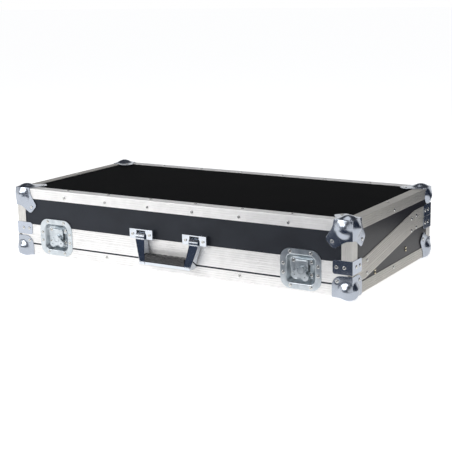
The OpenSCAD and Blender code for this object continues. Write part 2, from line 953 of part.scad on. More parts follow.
module leaning_wall(grow, top, bottom) {
    hull() {
        translate([0, 0, top - slice])
            linear_extrude(slice)
                round_rect(dish_w + 2 * grow, dish_h + 2 * grow, dish_round, $fn = 32);
        translate([0, 0, bottom])
            linear_extrude(slice)
                round_rect(floor_w + 2 * grow, floor_h + 2 * grow, floor_round, $fn = 32);
    }
}

// One half of a dish with its flange: up is 1 for the lid's half and -1 for the base's
module half_dish(up) {
    difference() {
        union() {
            linear_extrude(plate_t)
                round_rect(latch_w, latch_h, latch_round);
            leaning_wall(dish_t, 0, -dish_depth - dish_t);
        }
        leaning_wall(0, 0, -dish_depth);
        translate([0, 0, -slice])
            linear_extrude(plate_t + over)
                round_rect(dish_w, dish_h, dish_round);
        translate([-latch_w, up * half_gap - (1 + up) / 2 * latch_h, -dish_depth - dish_t - over])
            cube([2 * latch_w, latch_h, dish_depth + dish_t + plate_t + 2 * over]);
    }
}

module lid_dish(side) {
    difference() {
        at_latch(side) half_dish(1);
        place() bores(concat(latch_rows(1), lid_floor_rows));
    }
}

module base_dish(side) {
    difference() {
        at_latch(side) half_dish(-1);
        place() bores(concat(latch_rows(-1), base_floor_rows));
    }
}

module latch_left_lid_dish() color("#b9c2c4") lid_dish(-1);

module latch_right_lid_dish() color("#b9c2c4") lid_dish(1);

module latch_left_base_dish() color("#cfd5dc") base_dish(-1);

module latch_right_base_dish() color("#cfd5dc") base_dish(1);

// Strike plate on the lid dish's floor, behind the hook
module latch_strikes() color("#aab2b2") {
    difference() {
        for (side = [-1, 1])
            at_latch(side)
                translate([-strike_w / 2, strike_low, -dish_depth])
                    cube([strike_w, strike_high - strike_low, strike_t]);
        place() bores(lid_floor_rows);
    }
}

// Mechanism plate on the base dish's floor, with the stud that the boss turns on
module latch_plates() color("#8d9494") {
    difference() {
        for (side = [-1, 1])
            at_latch(side) {
                translate([-mech_w / 2, mech_low, -plate_depth - plate_sheet])
                    cube([mech_w, mech_high - mech_low, plate_sheet]);
                translate([-strike_w / 2, mech_low, -dish_depth])
                    cube([strike_w, foot_high - mech_low, dish_depth - plate_depth]);
                translate([0, -boss_drop, -plate_depth - plate_sheet])
                    cylinder(r = stud_r, h = plate_sheet + plate_depth - stud_end);
            }
        place() bores(base_floor_rows);
    }
}

// Boss: hub with the wing's pin hole, cover disc and eccentric, turning on the stud
module boss(side) color("#b4b8b4") {
    at_latch(side)
        translate([0, -boss_drop, 0])
            difference() {
                union() {
                    translate([0, 0, -disc_depth])
                        cylinder(r = boss_r, h = disc_depth + boss_top);
                    translate([0, 0, -disc_depth - disc_t])
                        cylinder(r = disc_r, h = disc_t);
                    translate([0, -cam_throw, -cam_end])
                        cylinder(r = cam_r, h = cam_end - disc_depth);
                }
                translate([0, 0, -cam_end - over])
                    cylinder(r = stud_r + run_clear, h = cam_end + over - stud_end + layer_gap);
                rotate([0, 0, wing_lean(side)])
                    translate([-boss_r - over, 0, -pin_depth])
                        rotate([0, 90, 0])
                            cylinder(r = wing_pin_r + run_clear, h = 2 * (boss_r + over));
            }
}

function wing_lean(side) = side < 0 ? wing_lean_left : wing_lean_right;

module latch_left_boss() boss(-1);

module latch_right_boss() boss(1);

module wing_pin(side) color("#9a9f9c") {
    reach = wing_cut + ear_gap + ear_w;
    at_latch(side)
        translate([0, -boss_drop, -pin_depth])
            rotate([0, 90, wing_lean(side)])
                translate([0, 0, -reach])
                    cylinder(r = wing_pin_r, h = 2 * reach);
}

module latch_left_wing_pin() wing_pin(-1);

module latch_right_wing_pin() wing_pin(1);

// Wing: bell-shaped sheet, lying flat below the boss, with two ears on the pin
lobe_mid = (wing_reach - wing_lobe) / sqrt(2);
wing_hole_r = 2.2;
flank_cut_r = 13.5;
notch_r = 7;

module wing_outline() {
    shoulder = wing_cut + ear_gap + ear_w;
    difference() {
        union() {
            for (s = [-1, 1])
                translate([s * lobe_mid, -lobe_mid])
                    circle(wing_lobe);
            polygon([[-shoulder, ear_up], [shoulder, ear_up], [lobe_mid + wing_lobe, -lobe_mid],
                [lobe_mid, -lobe_mid - wing_lobe / 2], [-lobe_mid, -lobe_mid - wing_lobe / 2],
                [-lobe_mid - wing_lobe, -lobe_mid]]);
        }
        circle(wing_cut);
        translate([-wing_cut, 0])
            square([2 * wing_cut, wing_cut]);
        for (s = [-1, 1]) {
            translate([s * (shoulder + flank_cut_r), ear_up])
                circle(flank_cut_r);
            translate([s * lobe_mid, -lobe_mid])
                circle(wing_hole_r);
        }
        translate([0, -wing_reach])
            circle(notch_r);
    }
}

module wing(side) color("#a9ada6") {
    at_latch(side)
        translate([0, -boss_drop, 0])
            rotate([0, 0, wing_lean(side)])
                difference() {
                    union() {
                        translate([0, 0, wing_top - wing_t])
                            linear_extrude(wing_t)
                                wing_outline();
                        for (s = [-1, 1])
                            translate([s * (wing_cut + ear_gap + ear_w / 2), 0, -pin_depth])
                                rotate([0, 90, 0]) {
                                    cylinder(r = ear_r, h = ear_w, center = true);
                                    translate([-pin_depth - wing_top, -ear_up, -ear_w / 2])
                                        cube([pin_depth + wing_top, 2 * ear_up, ear_w]);
                                }
                    }
                    translate([-wing_reach, 0, -pin_depth])
                        rotate([0, 90, 0])
                            cylinder(r = wing_pin_r + run_clear, h = 2 * wing_reach);
                }
}

module latch_left_wing() wing(-1);

module latch_right_wing() wing(1);

// Hook plate: a slot round the eccentric, and a rolled end in front of the strike
slot_play = 0.8;
hook_rim = 4;

module hook(side) color("#c3c8c6") {
    slot_half = cam_r + cam_throw + slot_play / 2;
    slot_h = cam_r + slot_play;
    slot_y = -boss_drop - cam_throw;
    low = slot_y - slot_h - hook_rim;
    at_latch(side) {
        difference() {
            translate([-hook_half, low, -hook_depth - hook_t])
                cube([2 * hook_half, roll_up - low, hook_t]);
            translate([0, slot_y, -hook_depth - hook_t - over])
                linear_extrude(hook_t + 2 * over)
                    round_rect(2 * slot_half, 2 * slot_h, slot_h - slot_play);
        }
        translate([0, roll_up, -hook_depth - hook_t + roll_r])
            rotate([0, 90, 0])
                cylinder(r = roll_r, h = 2 * hook_half - slot_play, center = true);
    }
}

module latch_left_hook() hook(-1);

module latch_right_hook() hook(1);

module lid_rivets() place() color("#e9e9e7") {
    rivets(concat(lid_panel_rows, lid_floor_rows));
}

module base_rivets() place() color("#e9e9e7") {
    rivets(concat(base_panel_rows, base_floor_rows));
}

// Drop handle
end_gap = 0.6;
pin_hold = 6;
screw_d = 4;
screw_head_d = 8;
screw_head_h = 2.2;
screw_in = 10;
drive_share = 0.6;
drive_w = 0.8;
drive_deep = 1.1;
block_w = (bracket_w - arm_w) / 2 - end_gap;

module brackets_solid() {
    for (s = [-1, 1])
        translate([s * bracket_x, 0, bracket_z]) {
            translate([-bracket_w / 2, metal_t - bracket_t, 0])
                cube([bracket_w, bracket_t, bracket_h]);
            translate([-bracket_w / 2, -bracket_out, bracket_h - hood_t])
                cube([bracket_w, bracket_out + metal_t, hood_t]);
            for (t = [-1, 1])
                translate([t * (bracket_w - block_w) / 2 - block_w / 2, -bracket_out, 0])
                    cube([block_w, bracket_out + metal_t, bracket_h]);
        }
}

module at_screws() {
    for (s = [-1, 1], t = [-1, 1])
        on_face("front", s * bracket_x + t * (bracket_w / 2 - screw_in), pivot_z)
            children();
}

module screw_bores() {
    at_screws()
        translate([0, 0, -board_reach - lay_gap])
            cylinder(d = screw_d + 2 * shank_clear, h = board_reach + bracket_out + over);
}

module pins_at(r, half) {
    for (s = [-1, 1])
        translate([s * bracket_x, -pivot_out, pivot_z])
            rotate([0, 90, 0])
                cylinder(r = r, h = 2 * half, center = true);
}

module handle_brackets() place() color("#c9ced6") {
    difference() {
        brackets_solid();
        screw_bores();
        pins_at(pivot_r + run_clear, arm_w / 2 + end_gap + pin_hold + lay_gap);
    }
}

module handle_pins() place() color("#9aa0a8") pins_at(pivot_r, arm_w / 2 + end_gap + pin_hold);

module handle_screws() place() color("#d9dadb") {
    at_screws() {
        translate([0, 0, -board_reach])
            cylinder(d = screw_d, h = board_reach + bracket_out);
        translate([0, 0, bracket_out])
            difference() {
                cylinder(d = screw_head_d, h = screw_head_h);
                for (turn = [0, 90])
                    rotate([0, 0, turn])
                        translate([0, 0, screw_head_h])
                            cube([screw_head_d * drive_share, drive_w, 2 * drive_deep], center = true);
            }
    }
}

// The bail: two arms that narrow and lean out towards the grip, and the strip that joins them
arm_low_x = 72.5;
arm_front = 18.5;
arm_rear = 2.2;
arm_low_rear = 4;
arm_shoulder_low = 17;
arm_shoulder_high = 2;
arm_foot = 12;
strip_in = 1;

// Parallel between the bracket's cheeks, and narrowing only below them
module arm() {
    hull() {
        translate([bracket_x, -pivot_out, pivot_z])
            rotate([0, 90, 0])
                cylinder(r = heel_r, h = arm_w, center = true, $fn = 32);
        translate([bracket_x - arm_w / 2, -arm_front, pivot_z - arm_shoulder_low])
            cube([arm_w, arm_front - arm_rear, arm_shoulder_low - arm_shoulder_high]);
    }
    hull() {
        translate([bracket_x - arm_w / 2, -arm_front, pivot_z - arm_shoulder_low])
            cube([arm_w, arm_front - arm_rear, slice]);
        translate([arm_low_x - arm_low_w / 2, -bail_out, pivot_z - bail_drop])
            cube([arm_low_w, bail_out - arm_low_rear, arm_foot]);
    }
}

module handle_bail() place() color("#b8c0cc") {
    difference() {
        union() {
            pair() arm();
            translate([-arm_low_x, strip_in - bail_out, pivot_z - bail_drop])
                cube([2 * arm_low_x, grip_d - strip_in, strip_t]);
        }
        pins_at(pivot_r + run_clear, arm_w);
    }
}

grip_half = arm_low_x - arm_low_w / 2 - lay_gap;
flute_count = 11;
flute_deep = 0.8;
flute_lean = 65;
flute_share = 0.7;
flute_run = grip_h * flute_share / cos(flute_lean);
flute_pitch = 2 * grip_half / flute_count;

module handle_grip() place() color("#2a2a2c") {
    low = pivot_z - bail_drop + strip_t;
    difference() {
        translate([-grip_half, -bail_out + grip_d / 2, low + grip_h / 2])
            rotate([90, 0, 90])
                linear_extrude(2 * grip_half)
                    round_rect(grip_d, grip_h, grip_h / 4);
        for (i = [0 : flute_count - 1])
            translate([(i + 1 / 2) * flute_pitch - grip_half, -bail_out, low + grip_h / 2])
                rotate([0, flute_lean, 0])
                    cube([flute_w, 2 * flute_deep, flute_run], center = true);
    }
}

// Hinges: x across, the pin's axis at y = 0, z = 0, the case's rear face at y = -hinge_out
knuckle_gap = 0.4;
knuckle_share = 0.4;
lid_knuckle = hinge_w * knuckle_share;
stop_reach = 6;
stop_t = 2.6;
stop_root = 2.8;
stop_side = 1;
stop_gap = 0.3;

module at_hinges() {
    for (s = [-1, 1])
        translate([s * hinge_x, case_d + hinge_out, seam_high])
            children();
}

module knuckle(x0, x1) {
    translate([x0, 0, 0])
        rotate([0, 90, 0])
            cylinder(r = knuckle_r, h = x1 - x0);
}

// Neck from a leaf to a knuckle, above the seam for the lid and below it for the base
module neck(x0, x1, up) {
    translate([x0, -hinge_out, up > 0 ? half_gap : -leaf_start - lay_gap])
        cube([x1 - x0, leaf_t, leaf_start + lay_gap - half_gap]);
}

module hinge_lid_leaves() place() color("#a8adb5") {
    half = lid_knuckle / 2 - knuckle_gap;
    difference() {
        at_hinges() {
            translate([-hinge_w / 2, -hinge_out, leaf_start])
                cube([hinge_w, leaf_t, leaf_top - leaf_start]);
            difference() {
                union() {
                    knuckle(-half, half);
                    neck(-half, half, 1);
                    rotate([open_stop, 0, 0])
                        translate([stop_side - half, leaf_t + stop_gap - hinge_out, -stop_reach])
                            cube([2 * (half - stop_side), stop_t, stop_reach - stop_root]);
                }
                knuckle_bore();
            }
        }
        bores(lid_hinge_rows);
    }
}

module knuckle_bore() {
    translate([-hinge_w / 2 - over, 0, 0])
        rotate([0, 90, 0])
            cylinder(r = hinge_pin_r + run_clear, h = hinge_w + 2 * over);
}

module hinge_base_leaves() place() color("#a8adb5") {
    half = lid_knuckle / 2;
    difference() {
        at_hinges() {
            translate([-hinge_w / 2, -hinge_out, -leaf_bottom])
                cube([hinge_w, leaf_t, leaf_bottom - leaf_start + lay_gap]);
            for (s = [0, 1])
                mirror([s, 0, 0])
                    difference() {
                        union() {
                            knuckle(half, hinge_w / 2);
                            neck(half, hinge_w / 2, -1);
                        }
                        knuckle_bore();
                    }
        }
        bores(base_hinge_rows);
    }
}

module hinge_pins() place() color("#8c9198") {
    at_hinges()
        translate([-hinge_w / 2, 0, 0])
            rotate([0, 90, 0])
                cylinder(r = hinge_pin_r, h = hinge_w);
}

// Side fittings: pairs of bolts through the base's sides, nuts and angle brackets inside
bolt_head_h = 3;
bolt_crown_shares = [[1, 0], [1, 0.4], [0.75, 0.85], [0.4, 1]];
support_t = 2;
support_low = 12;
support_hole_share = 0.6;
nut_af = 7;
nut_h = 3.2;
bolt_tail = 1;
bolt_end = wall_in + support_t + nut_h + bolt_tail;
bolt_places = [[bolt_front_y, bolt_front_z], [bolt_rear_y, bolt_rear_z]];

module at_bolts() {
    for (face = ["left", "right"], p = bolt_places, t = [-0.5, 0.5])
        on_face(face, p[0], p[1] + t * bolt_pitch)
            children();
}

module side_bolt_bores() {
    at_bolts()
        translate([0, 0, -bolt_end])
            cylinder(d = bolt_d + 2 * shank_clear, h = bolt_end + over);
}

module side_bolts() place() color("#b5a272") {
    at_bolts() {
        translate([0, 0, -bolt_end])
            cylinder(d = bolt_d, h = bolt_end - metal_t);
        translate([0, 0, -metal_t])
            rotate_extrude()
                polygon(concat([[0, 0]],
                    [for (c = bolt_crown_shares) [c[0] * bolt_head_d / 2, c[1] * bolt_head_h]],
                    [[0, bolt_head_h]]));
    }
}

module side_nuts() place() color("#b8bcc2") {
    difference() {
        at_bolts()
            translate([0, 0, -wall_in - support_t - nut_h])
                cylinder(d = nut_af / cos(180 / 6), h = nut_h, $fn = 6);
        side_bolt_bores();
    }
}

module support_brackets() place() color("#3a3d42") {
    difference() {
        for (face = ["left", "right"], p = bolt_places)
            on_face(face, p[0], p[1]) {
                translate([-support_l / 2, -support_low, -wall_in - support_t])
                    cube([support_l, support_leg, support_t]);
                difference() {
                    translate([-support_l / 2, -support_low, -wall_in - support_leg])
                        cube([support_l, support_t, support_leg]);
                    translate([0, -support_low - over, -wall_in - support_leg * support_hole_share])
                        rotate([-90, 0, 0])
                            cylinder(r = support_hole_r, h = support_t + 2 * over);
                }
            }
        side_bolt_bores();
    }
}

// Foam lining
foam_in = wall_in + lay_gap;
lining_in = band_in + lay_gap;
flange_clear = 1;
foam_edge = inner_flange + flange_clear;
foam_low = foam_edge / cos(slope);

module foam_sheet(z) {
    translate([-edge + foam_in, foam_in, z])
        cube([case_w - 2 * foam_in, case_d - 2 * foam_in, foam_t]);
}

module lid_foam() place() color("#4a4c50") {
    level = case_h - foam_in - foam_t;
    foam_sheet(level);
    difference() {
        for (y = [foam_in, case_d - foam_in - foam_t])
            translate([-edge + foam_in + foam_t, y, seam_z(y) + foam_edge])
                cube([case_w - 2 * (foam_in + foam_t), foam_t, level - seam_z(y) - foam_edge]);
        pair()
            translate([latch_x - latch_w / 2, 0, 0])
                cube([latch_w, foam_in + foam_t + over, seam_low + latch_h / 2]);
    }
    pair()
        translate([edge - foam_in - foam_t, 0, 0])
            rotate([90, 0, 90])
                linear_extrude(foam_t)
                    polygon([[foam_in, level], [foam_in, seam_low + foam_low],
                        [kink_low, seam_low + foam_low], [kink_high, seam_high + foam_low],
                        [case_d - foam_in, seam_high + foam_low], [case_d - foam_in, level]]);
}

module base_foam() place() color("#4a4c50") {
    level = foam_in + foam_t;
    foam_sheet(foam_in);
    translate([-edge + foam_in, case_d - foam_in - foam_t, level])
        cube([case_w - 2 * foam_in, foam_t, seam_high - foam_edge - level]);
}

lid_top_board();
lid_front_board();
lid_rear_board();
lid_left_board();
lid_right_board();
lid_wide_angles();
lid_deep_angles();
lid_posts();
lid_seam_front();
lid_seam_rear();
lid_seam_left();
lid_seam_right();
lid_corners_front();
lid_corners_rear();
lid_braces();
lid_rivets();
lid_foam();
latch_left_lid_dish();
latch_right_lid_dish();
latch_strikes();
handle_brackets();
handle_screws();
handle_pins();
hinge_lid_leaves();
base_bottom_board();
base_front_board();
base_rear_board();
base_left_board();
base_right_board();
base_wide_angles();
base_deep_angles();
base_posts();
base_seam_front();
base_seam_rear();
base_seam_left();
base_seam_right();
base_corners_front();
base_corners_rear();
base_braces();
base_rivets();
base_foam();
latch_left_base_dish();
latch_right_base_dish();
latch_plates();
hinge_base_leaves();
hinge_pins();
side_bolts();
side_nuts();
support_brackets();
latch_left_boss();
latch_left_wing_pin();
latch_left_wing();
latch_left_hook();
latch_right_boss();
latch_right_wing_pin();
latch_right_wing();
latch_right_hook();
handle_bail();
handle_grip();
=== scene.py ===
import itertools
import json
import math

import bmesh
import bpy
import numpy as np
from mathutils import Matrix, Vector


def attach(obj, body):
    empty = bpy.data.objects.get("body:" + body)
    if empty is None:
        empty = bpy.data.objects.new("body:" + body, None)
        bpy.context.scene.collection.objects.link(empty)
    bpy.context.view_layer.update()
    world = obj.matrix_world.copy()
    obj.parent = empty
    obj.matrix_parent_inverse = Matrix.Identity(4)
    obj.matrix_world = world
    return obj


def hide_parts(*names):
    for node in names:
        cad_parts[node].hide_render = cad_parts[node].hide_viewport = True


MM = 0.001

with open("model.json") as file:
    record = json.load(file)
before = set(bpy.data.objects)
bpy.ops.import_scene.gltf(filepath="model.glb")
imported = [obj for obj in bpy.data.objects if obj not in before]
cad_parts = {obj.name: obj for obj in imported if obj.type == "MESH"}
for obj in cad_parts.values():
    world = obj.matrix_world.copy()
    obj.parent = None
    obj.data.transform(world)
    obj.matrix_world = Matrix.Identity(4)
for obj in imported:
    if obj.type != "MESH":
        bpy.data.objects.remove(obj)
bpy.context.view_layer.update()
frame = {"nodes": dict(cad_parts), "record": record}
scene = bpy.context.scene

# Sizes that the dressed pieces share with the solids, in millimetres
CASE_W, CASE_D, CASE_H = 1074.0, 523.0, 195.0
# How far the ball corners, and in front the handle, stand out from the case's faces
BALL_PROUD, HANDLE_PROUD = 11.0, 31.0
CASE_MID_Y = (CASE_D + BALL_PROUD - HANDLE_PROUD) / 2
SEAM_LOW = 58.4
# Points that lie closer than this are one point
MERGE = 0.002 * MM
# Faces that turn by fewer degrees than the first are one flat face, and by more than the second meet
# in an edge to round
FLAT_TURN, EDGE_TURN = 0.8, 28


def from_case(x, y, z):
    """A place in the case's own millimetres, as a point of the scene."""
    return Vector((x, y - CASE_MID_Y, z + BALL_PROUD)) * MM


# Camera

# Solved from the case's corners in the photograph: the lens, where the eye stands in the case's
# millimetres, and its turn to the left, dip and roll in radians
FOCAL_PX, PHOTO_PX = 1090.93, 452
EYE = (1619.6, -2361.12, 758.32)
TURN, DIP, ROLL = 0.548249, 0.2168907, -0.0190951
SENSOR = 36.0
camera_data = bpy.data.cameras.new("camera")
camera_data.sensor_width = SENSOR
camera_data.lens = FOCAL_PX / PHOTO_PX * SENSOR
camera_data.clip_end = 50
camera = bpy.data.objects.new("camera", camera_data)
scene.collection.objects.link(camera)
ahead = Vector((-math.sin(TURN) * math.cos(DIP), math.cos(TURN) * math.cos(DIP), -math.sin(DIP)))
level_right = ahead.cross(Vector((0, 0, 1))).normalized()
level_up = level_right.cross(ahead)
right = math.cos(ROLL) * level_right + math.sin(ROLL) * level_up
up = math.cos(ROLL) * level_up - math.sin(ROLL) * level_right
look = Matrix((right, up, -ahead)).transposed().to_4x4()
look.translation = from_case(*EYE)
camera.matrix_world = look
scene.camera = camera

# Materials


def linear(code):
    """The linear colour of an sRGB hex code."""
    parts = [int(code[i : i + 2], 16) / 255 for i in (1, 3, 5)]
    return tuple(p / 12.92 if p <= 0.04045 else ((p + 0.055) / 1.055) ** 2.4 for p in parts) + (1.0,)


def add(tree, kind, inputs=None, stops=(), **settings):
    """Adds a node with its settings; an input is a value, or a socket that it is linked to."""
    made = tree.nodes.new(kind)
    for name, value in settings.items():
        setattr(made, name, value)
    for i, (place, colour) in enumerate(stops):
        band = made.color_ramp.elements
        element = band[i] if i < len(band) else band.new(place)
        element.position, element.color = place, colour
    for key, value in (inputs or {}).items():
        socket = made.inputs[key]
        if isinstance(value, bpy.types.NodeSocket):
            tree.links.new(value, socket)
        else:
            socket.default_value = value
    return made


def new_material(name):
    material = bpy.data.materials.new(name)
    material.use_nodes = True
    material.node_tree.nodes.clear()
    return material, material.node_tree


def per_mm(size):
    """Scale of a pattern on Object coordinates, in metres, whose detail is size mm."""
    return 1000.0 / size


def faced_plywood(name, tone, sheen_tone, rough, shine):
    # Birch plywood with a pressed black phenolic film: dull, with a fine pebbled press mark and
    # faint wiped smears, so that broad lights spread over it as a soft grey bloom. The real pebble
    # is about 0.4 mm and is drawn at 1.1 mm, so that it shows
    material, tree = new_material(name)
    place = add(tree, "ShaderNodeTexCoord").outputs["Object"]
    pebble = add(tree, "ShaderNodeTexNoise", {"Vector": place, "Scale": per_mm(1.1), "Detail": 3.0})
    smear = add(tree, "ShaderNodeTexNoise", {"Vector": place, "Scale": per_mm(90), "Detail": 4.0})
    tint = add(
        tree,
        "ShaderNodeValToRGB",
        {"Fac": smear.outputs["Fac"]},
        [(0.3, linear(tone)), (0.75, linear(sheen_tone))],
    )
    press = add(
        tree, "ShaderNodeBump", {"Height": pebble.outputs["Fac"], "Strength": 0.22, "Distance": 0.25 * MM}
    )
    gloss = add(
        tree,
        "ShaderNodeMapRange",
        {"Value": smear.outputs["Fac"], "To Min": rough - 0.04, "To Max": rough + 0.06},
    )
    film = add(
        tree,
        "ShaderNodeBsdfPrincipled",
        {
            "Base Color": tint.outputs["Color"],
            "Roughness": gloss.outputs[0],
            "Specular IOR Level": shine,
            "Normal": press.outputs["Normal"],
        },
    )
    add(tree, "ShaderNodeOutputMaterial", {"Surface": film.outputs[0]})
    return material


def drawn_aluminium(name, tone, rough, along):
    # Extruded aluminium, satin anodised: pale and matt, with fine die lines along the length and
    # a few handling marks, so that it whitens evenly and never mirrors. The real lines are about
    # 0.2 mm apart and are drawn at 0.9 mm, so that they show
    material, tree = new_material(name)
    place = add(tree, "ShaderNodeTexCoord").outputs["Object"]
    stretch = [per_mm(0.9)] * 3
    stretch["XYZ".index(along)] = per_mm(140)
    laid = add(tree, "ShaderNodeMapping", {"Vector": place, "Scale": stretch})
    lines = add(tree, "ShaderNodeTexNoise", {"Vector": laid.outputs[0], "Scale": 1.0, "Detail": 4.0})
    marks = add(tree, "ShaderNodeTexNoise", {"Vector": place, "Scale": per_mm(35), "Detail": 5.0})
    dark = tuple(c * 0.94 for c in linear(tone)[:3]) + (1.0,)
    tint = add(
        tree,
        "ShaderNodeValToRGB",
        {"Fac": marks.outputs["Fac"]},
        [(0.35, dark), (0.6, linear(tone))],
    )
    die = add(
        tree, "ShaderNodeBump", {"Height": lines.outputs["Fac"], "Strength": 0.3, "Distance": 0.12 * MM}
    )
    gloss = add(
        tree,
        "ShaderNodeMapRange",
        {"Value": lines.outputs["Fac"], "To Min": rough - 0.07, "To Max": rough + 0.07},
    )
    metal = add(
        tree,
        "ShaderNodeBsdfPrincipled",
        {
            "Base Color": tint.outputs["Color"],
            "Metallic": 1.0,
            "Roughness": gloss.outputs[0],
            "Normal": die.outputs["Normal"],
        },
    )
    add(tree, "ShaderNodeOutputMaterial", {"Surface": metal.outputs[0]})
    return material


def bright_metal(name, tone, rough):
    # Steel, formed, polished and chromed, or a bright aluminium rivet: a cold mirror with light
    # wiping smears and a faint unevenness from the forming, which bends its reflections
    material, tree = new_material(name)
    place = add(tree, "ShaderNodeTexCoord").outputs["Object"]
    smear = add(tree, "ShaderNodeTexNoise", {"Vector": place, "Scale": per_mm(24), "Detail": 5.0})
    wave = add(tree, "ShaderNodeTexNoise", {"Vector": place, "Scale": per_mm(28), "Detail": 1.0})
    press = add(
        tree, "ShaderNodeBump", {"Height": wave.outputs["Fac"], "Strength": 0.08, "Distance": 0.6 * MM}
    )
    gloss = add(
        tree,
        "ShaderNodeMapRange",
        {"Value": smear.outputs["Fac"], "To Min": rough, "To Max": rough + 0.07},
    )
    metal = add(
        tree,
        "ShaderNodeBsdfPrincipled",
        {
            "Base Color": linear(tone),
            "Metallic": 1.0,
            "Roughness": gloss.outputs[0],
            "Normal": press.outputs["Normal"],
        },
    )
    add(tree, "ShaderNodeOutputMaterial", {"Surface": metal.outputs[0]})
    return material


def zinc_plated_steel(name, tone, pale, rough):
    # Pressed or rolled steel, zinc plated and passivated: a cloudy, slightly tinted grey with small
    # crystal flecks, which softens its reflections
    material, tree = new_material(name)
    place = add(tree, "ShaderNodeTexCoord").outputs["Object"]
    cloud = add(tree, "ShaderNodeTexNoise", {"Vector": place, "Scale": per_mm(16), "Detail": 4.0})
    fleck = add(tree, "ShaderNodeTexVoronoi", {"Vector": place, "Scale": per_mm(2.5)})
    tint = add(
        tree,
        "ShaderNodeValToRGB",
        {"Fac": cloud.outputs["Fac"]},
        [(0.3, linear(tone)), (0.7, linear(pale))],
    )
    bite = add(
        tree,
        "ShaderNodeBump",
        {"Height": fleck.outputs["Distance"], "Strength": 0.04, "Distance": 0.1 * MM},
    )
    gloss = add(
        tree,
        "ShaderNodeMapRange",
        {"Value": cloud.outputs["Fac"], "To Min": rough - 0.06, "To Max": rough + 0.08},
    )
    metal = add(
        tree,
        "ShaderNodeBsdfPrincipled",
        {
            "Base Color": tint.outputs["Color"],
            "Metallic": 1.0,
            "Roughness": gloss.outputs[0],
            "Normal": bite.outputs["Normal"],
        },
    )
    add(tree, "ShaderNodeOutputMaterial", {"Surface": metal.outputs[0]})
    return material


def grained_black(name, tone, rough):
    # Thermoplastic rubber or a powder coat: near black, with soft lights on a fine even grain. The
    # real grain is about 0.2 mm and is drawn at 0.6 mm, so that it shows
    material, tree = new_material(name)
    place = add(tree, "ShaderNodeTexCoord").outputs["Object"]
    grain = add(tree, "ShaderNodeTexNoise", {"Vector": place, "Scale": per_mm(0.6), "Detail": 2.0})
    mould = add(
        tree, "ShaderNodeBump", {"Height": grain.outputs["Fac"], "Strength": 0.35, "Distance": 0.15 * MM}
    )
    gloss = add(
        tree,
        "ShaderNodeMapRange",
        {"Value": grain.outputs["Fac"], "To Min": rough - 0.05, "To Max": rough + 0.1},
    )
    rubber = add(
        tree,
        "ShaderNodeBsdfPrincipled",
        {
            "Base Color": linear(tone),
            "Roughness": gloss.outputs[0],
            "Specular IOR Level": 0.5,
            "Normal": mould.outputs["Normal"],
        },
    )
    add(tree, "ShaderNodeOutputMaterial", {"Surface": rubber.outputs[0]})
    return material


def cut_foam(name, tone, pore_shade_tone):
    # Polyurethane foam, slit from the block: dead matt charcoal, with its open cells darkened as pores,
    # which is painted shade in their hollows. The real cells are about 1 mm and are drawn at 2.2 mm, so
    # that they show
    material, tree = new_material(name)
    place = add(tree, "ShaderNodeTexCoord").outputs["Object"]
    cell = add(tree, "ShaderNodeTexVoronoi", {"Vector": place, "Scale": per_mm(2.2)})
    cloud = add(tree, "ShaderNodeTexNoise", {"Vector": place, "Scale": per_mm(40), "Detail": 3.0})
    tint = add(
        tree,
        "ShaderNodeValToRGB",
        {"Fac": cell.outputs["Distance"]},
        [(0.05, linear(pore_shade_tone)), (0.45, linear(tone))],
    )
    pores = add(
        tree,
        "ShaderNodeBump",
        {"Height": cell.outputs["Distance"], "Strength": 0.8, "Distance": 0.9 * MM},
    )
    gloss = add(
        tree,
        "ShaderNodeMapRange",
        {"Value": cloud.outputs["Fac"], "To Min": 0.88, "To Max": 1.0},
    )
    foam = add(
        tree,
        "ShaderNodeBsdfPrincipled",
        {
            "Base Color": tint.outputs["Color"],
            "Roughness": gloss.outputs[0],
            "Specular IOR Level": 0.1,
            "Normal": pores.outputs["Normal"],
        },
    )
    add(tree, "ShaderNodeOutputMaterial", {"Surface": foam.outputs[0]})
    return material


# One black phenolic film in three tones, set face by face for how the light falls on it: darkest on the lid
# top, lightest on the front and rear, between on the sides. These tones are painted light and shade.
shaded_top_film = faced_plywood("phenolic-faced plywood, lid top, toned as shaded", "#08090b", "#0d0e10", 0.62, 0.005)
lit_front_film = faced_plywood("phenolic-faced plywood, front and rear, toned as lit", "#272a31", "#30343c", 0.5, 0.25)
half_lit_side_film = faced_plywood("phenolic-faced plywood, sides, toned half lit", "#18161c", "#222027", 0.3, 0.28)
# Three copies of one anodised aluminium, toned for how the light falls on them: lightest on the angles that
# run across the front and rear, darkest on those that run front to rear along the sides, between on the
# upright posts. These tones are painted light and shade.
lit_front_aluminium = drawn_aluminium("anodised aluminium, drawn across, toned as lit", "#f1f0ef", 0.56, "X")
shaded_deep_aluminium = drawn_aluminium("anodised aluminium, drawn front to rear, toned as shaded", "#cbc8c2", 0.5, "Y")
half_lit_upright_aluminium = drawn_aluminium("anodised aluminium, drawn upright, toned half lit", "#dbd9d5", 0.58, "Z")
corner_chrome = bright_metal("chromed steel, pressed corners", "#abb1bb", 0.2)
handle_chrome = bright_metal("chromed steel, formed handle", "#ced3da", 0.05)
brace_chrome = bright_metal("chromed steel, folded braces", "#b3b9c4", 0.18)
rivet_metal = bright_metal("bright aluminium, set rivets", "#cfcfcc", 0.16)
latch_zinc = zinc_plated_steel("zinc plated steel, pressed latches", "#b6bec3", "#d2d8dc", 0.32)
hinge_zinc = zinc_plated_steel("zinc plated steel, rolled hinges", "#9a9fa5", "#bfc4c9", 0.3)
yellow_steel = zinc_plated_steel("yellow passivated steel, side bolts", "#b0a686", "#dcd5be", 0.22)
grip_rubber = grained_black("thermoplastic rubber, moulded grip", "#2c2c2e", 0.22)
bracket_black = grained_black("powder coated steel, inner brackets", "#1a1b1d", 0.5)
lining_foam = cut_foam("polyurethane foam, slit sheet", "#2c2d30", "#0d0d0e")

# Finishes, and the nodes whose edges are eased

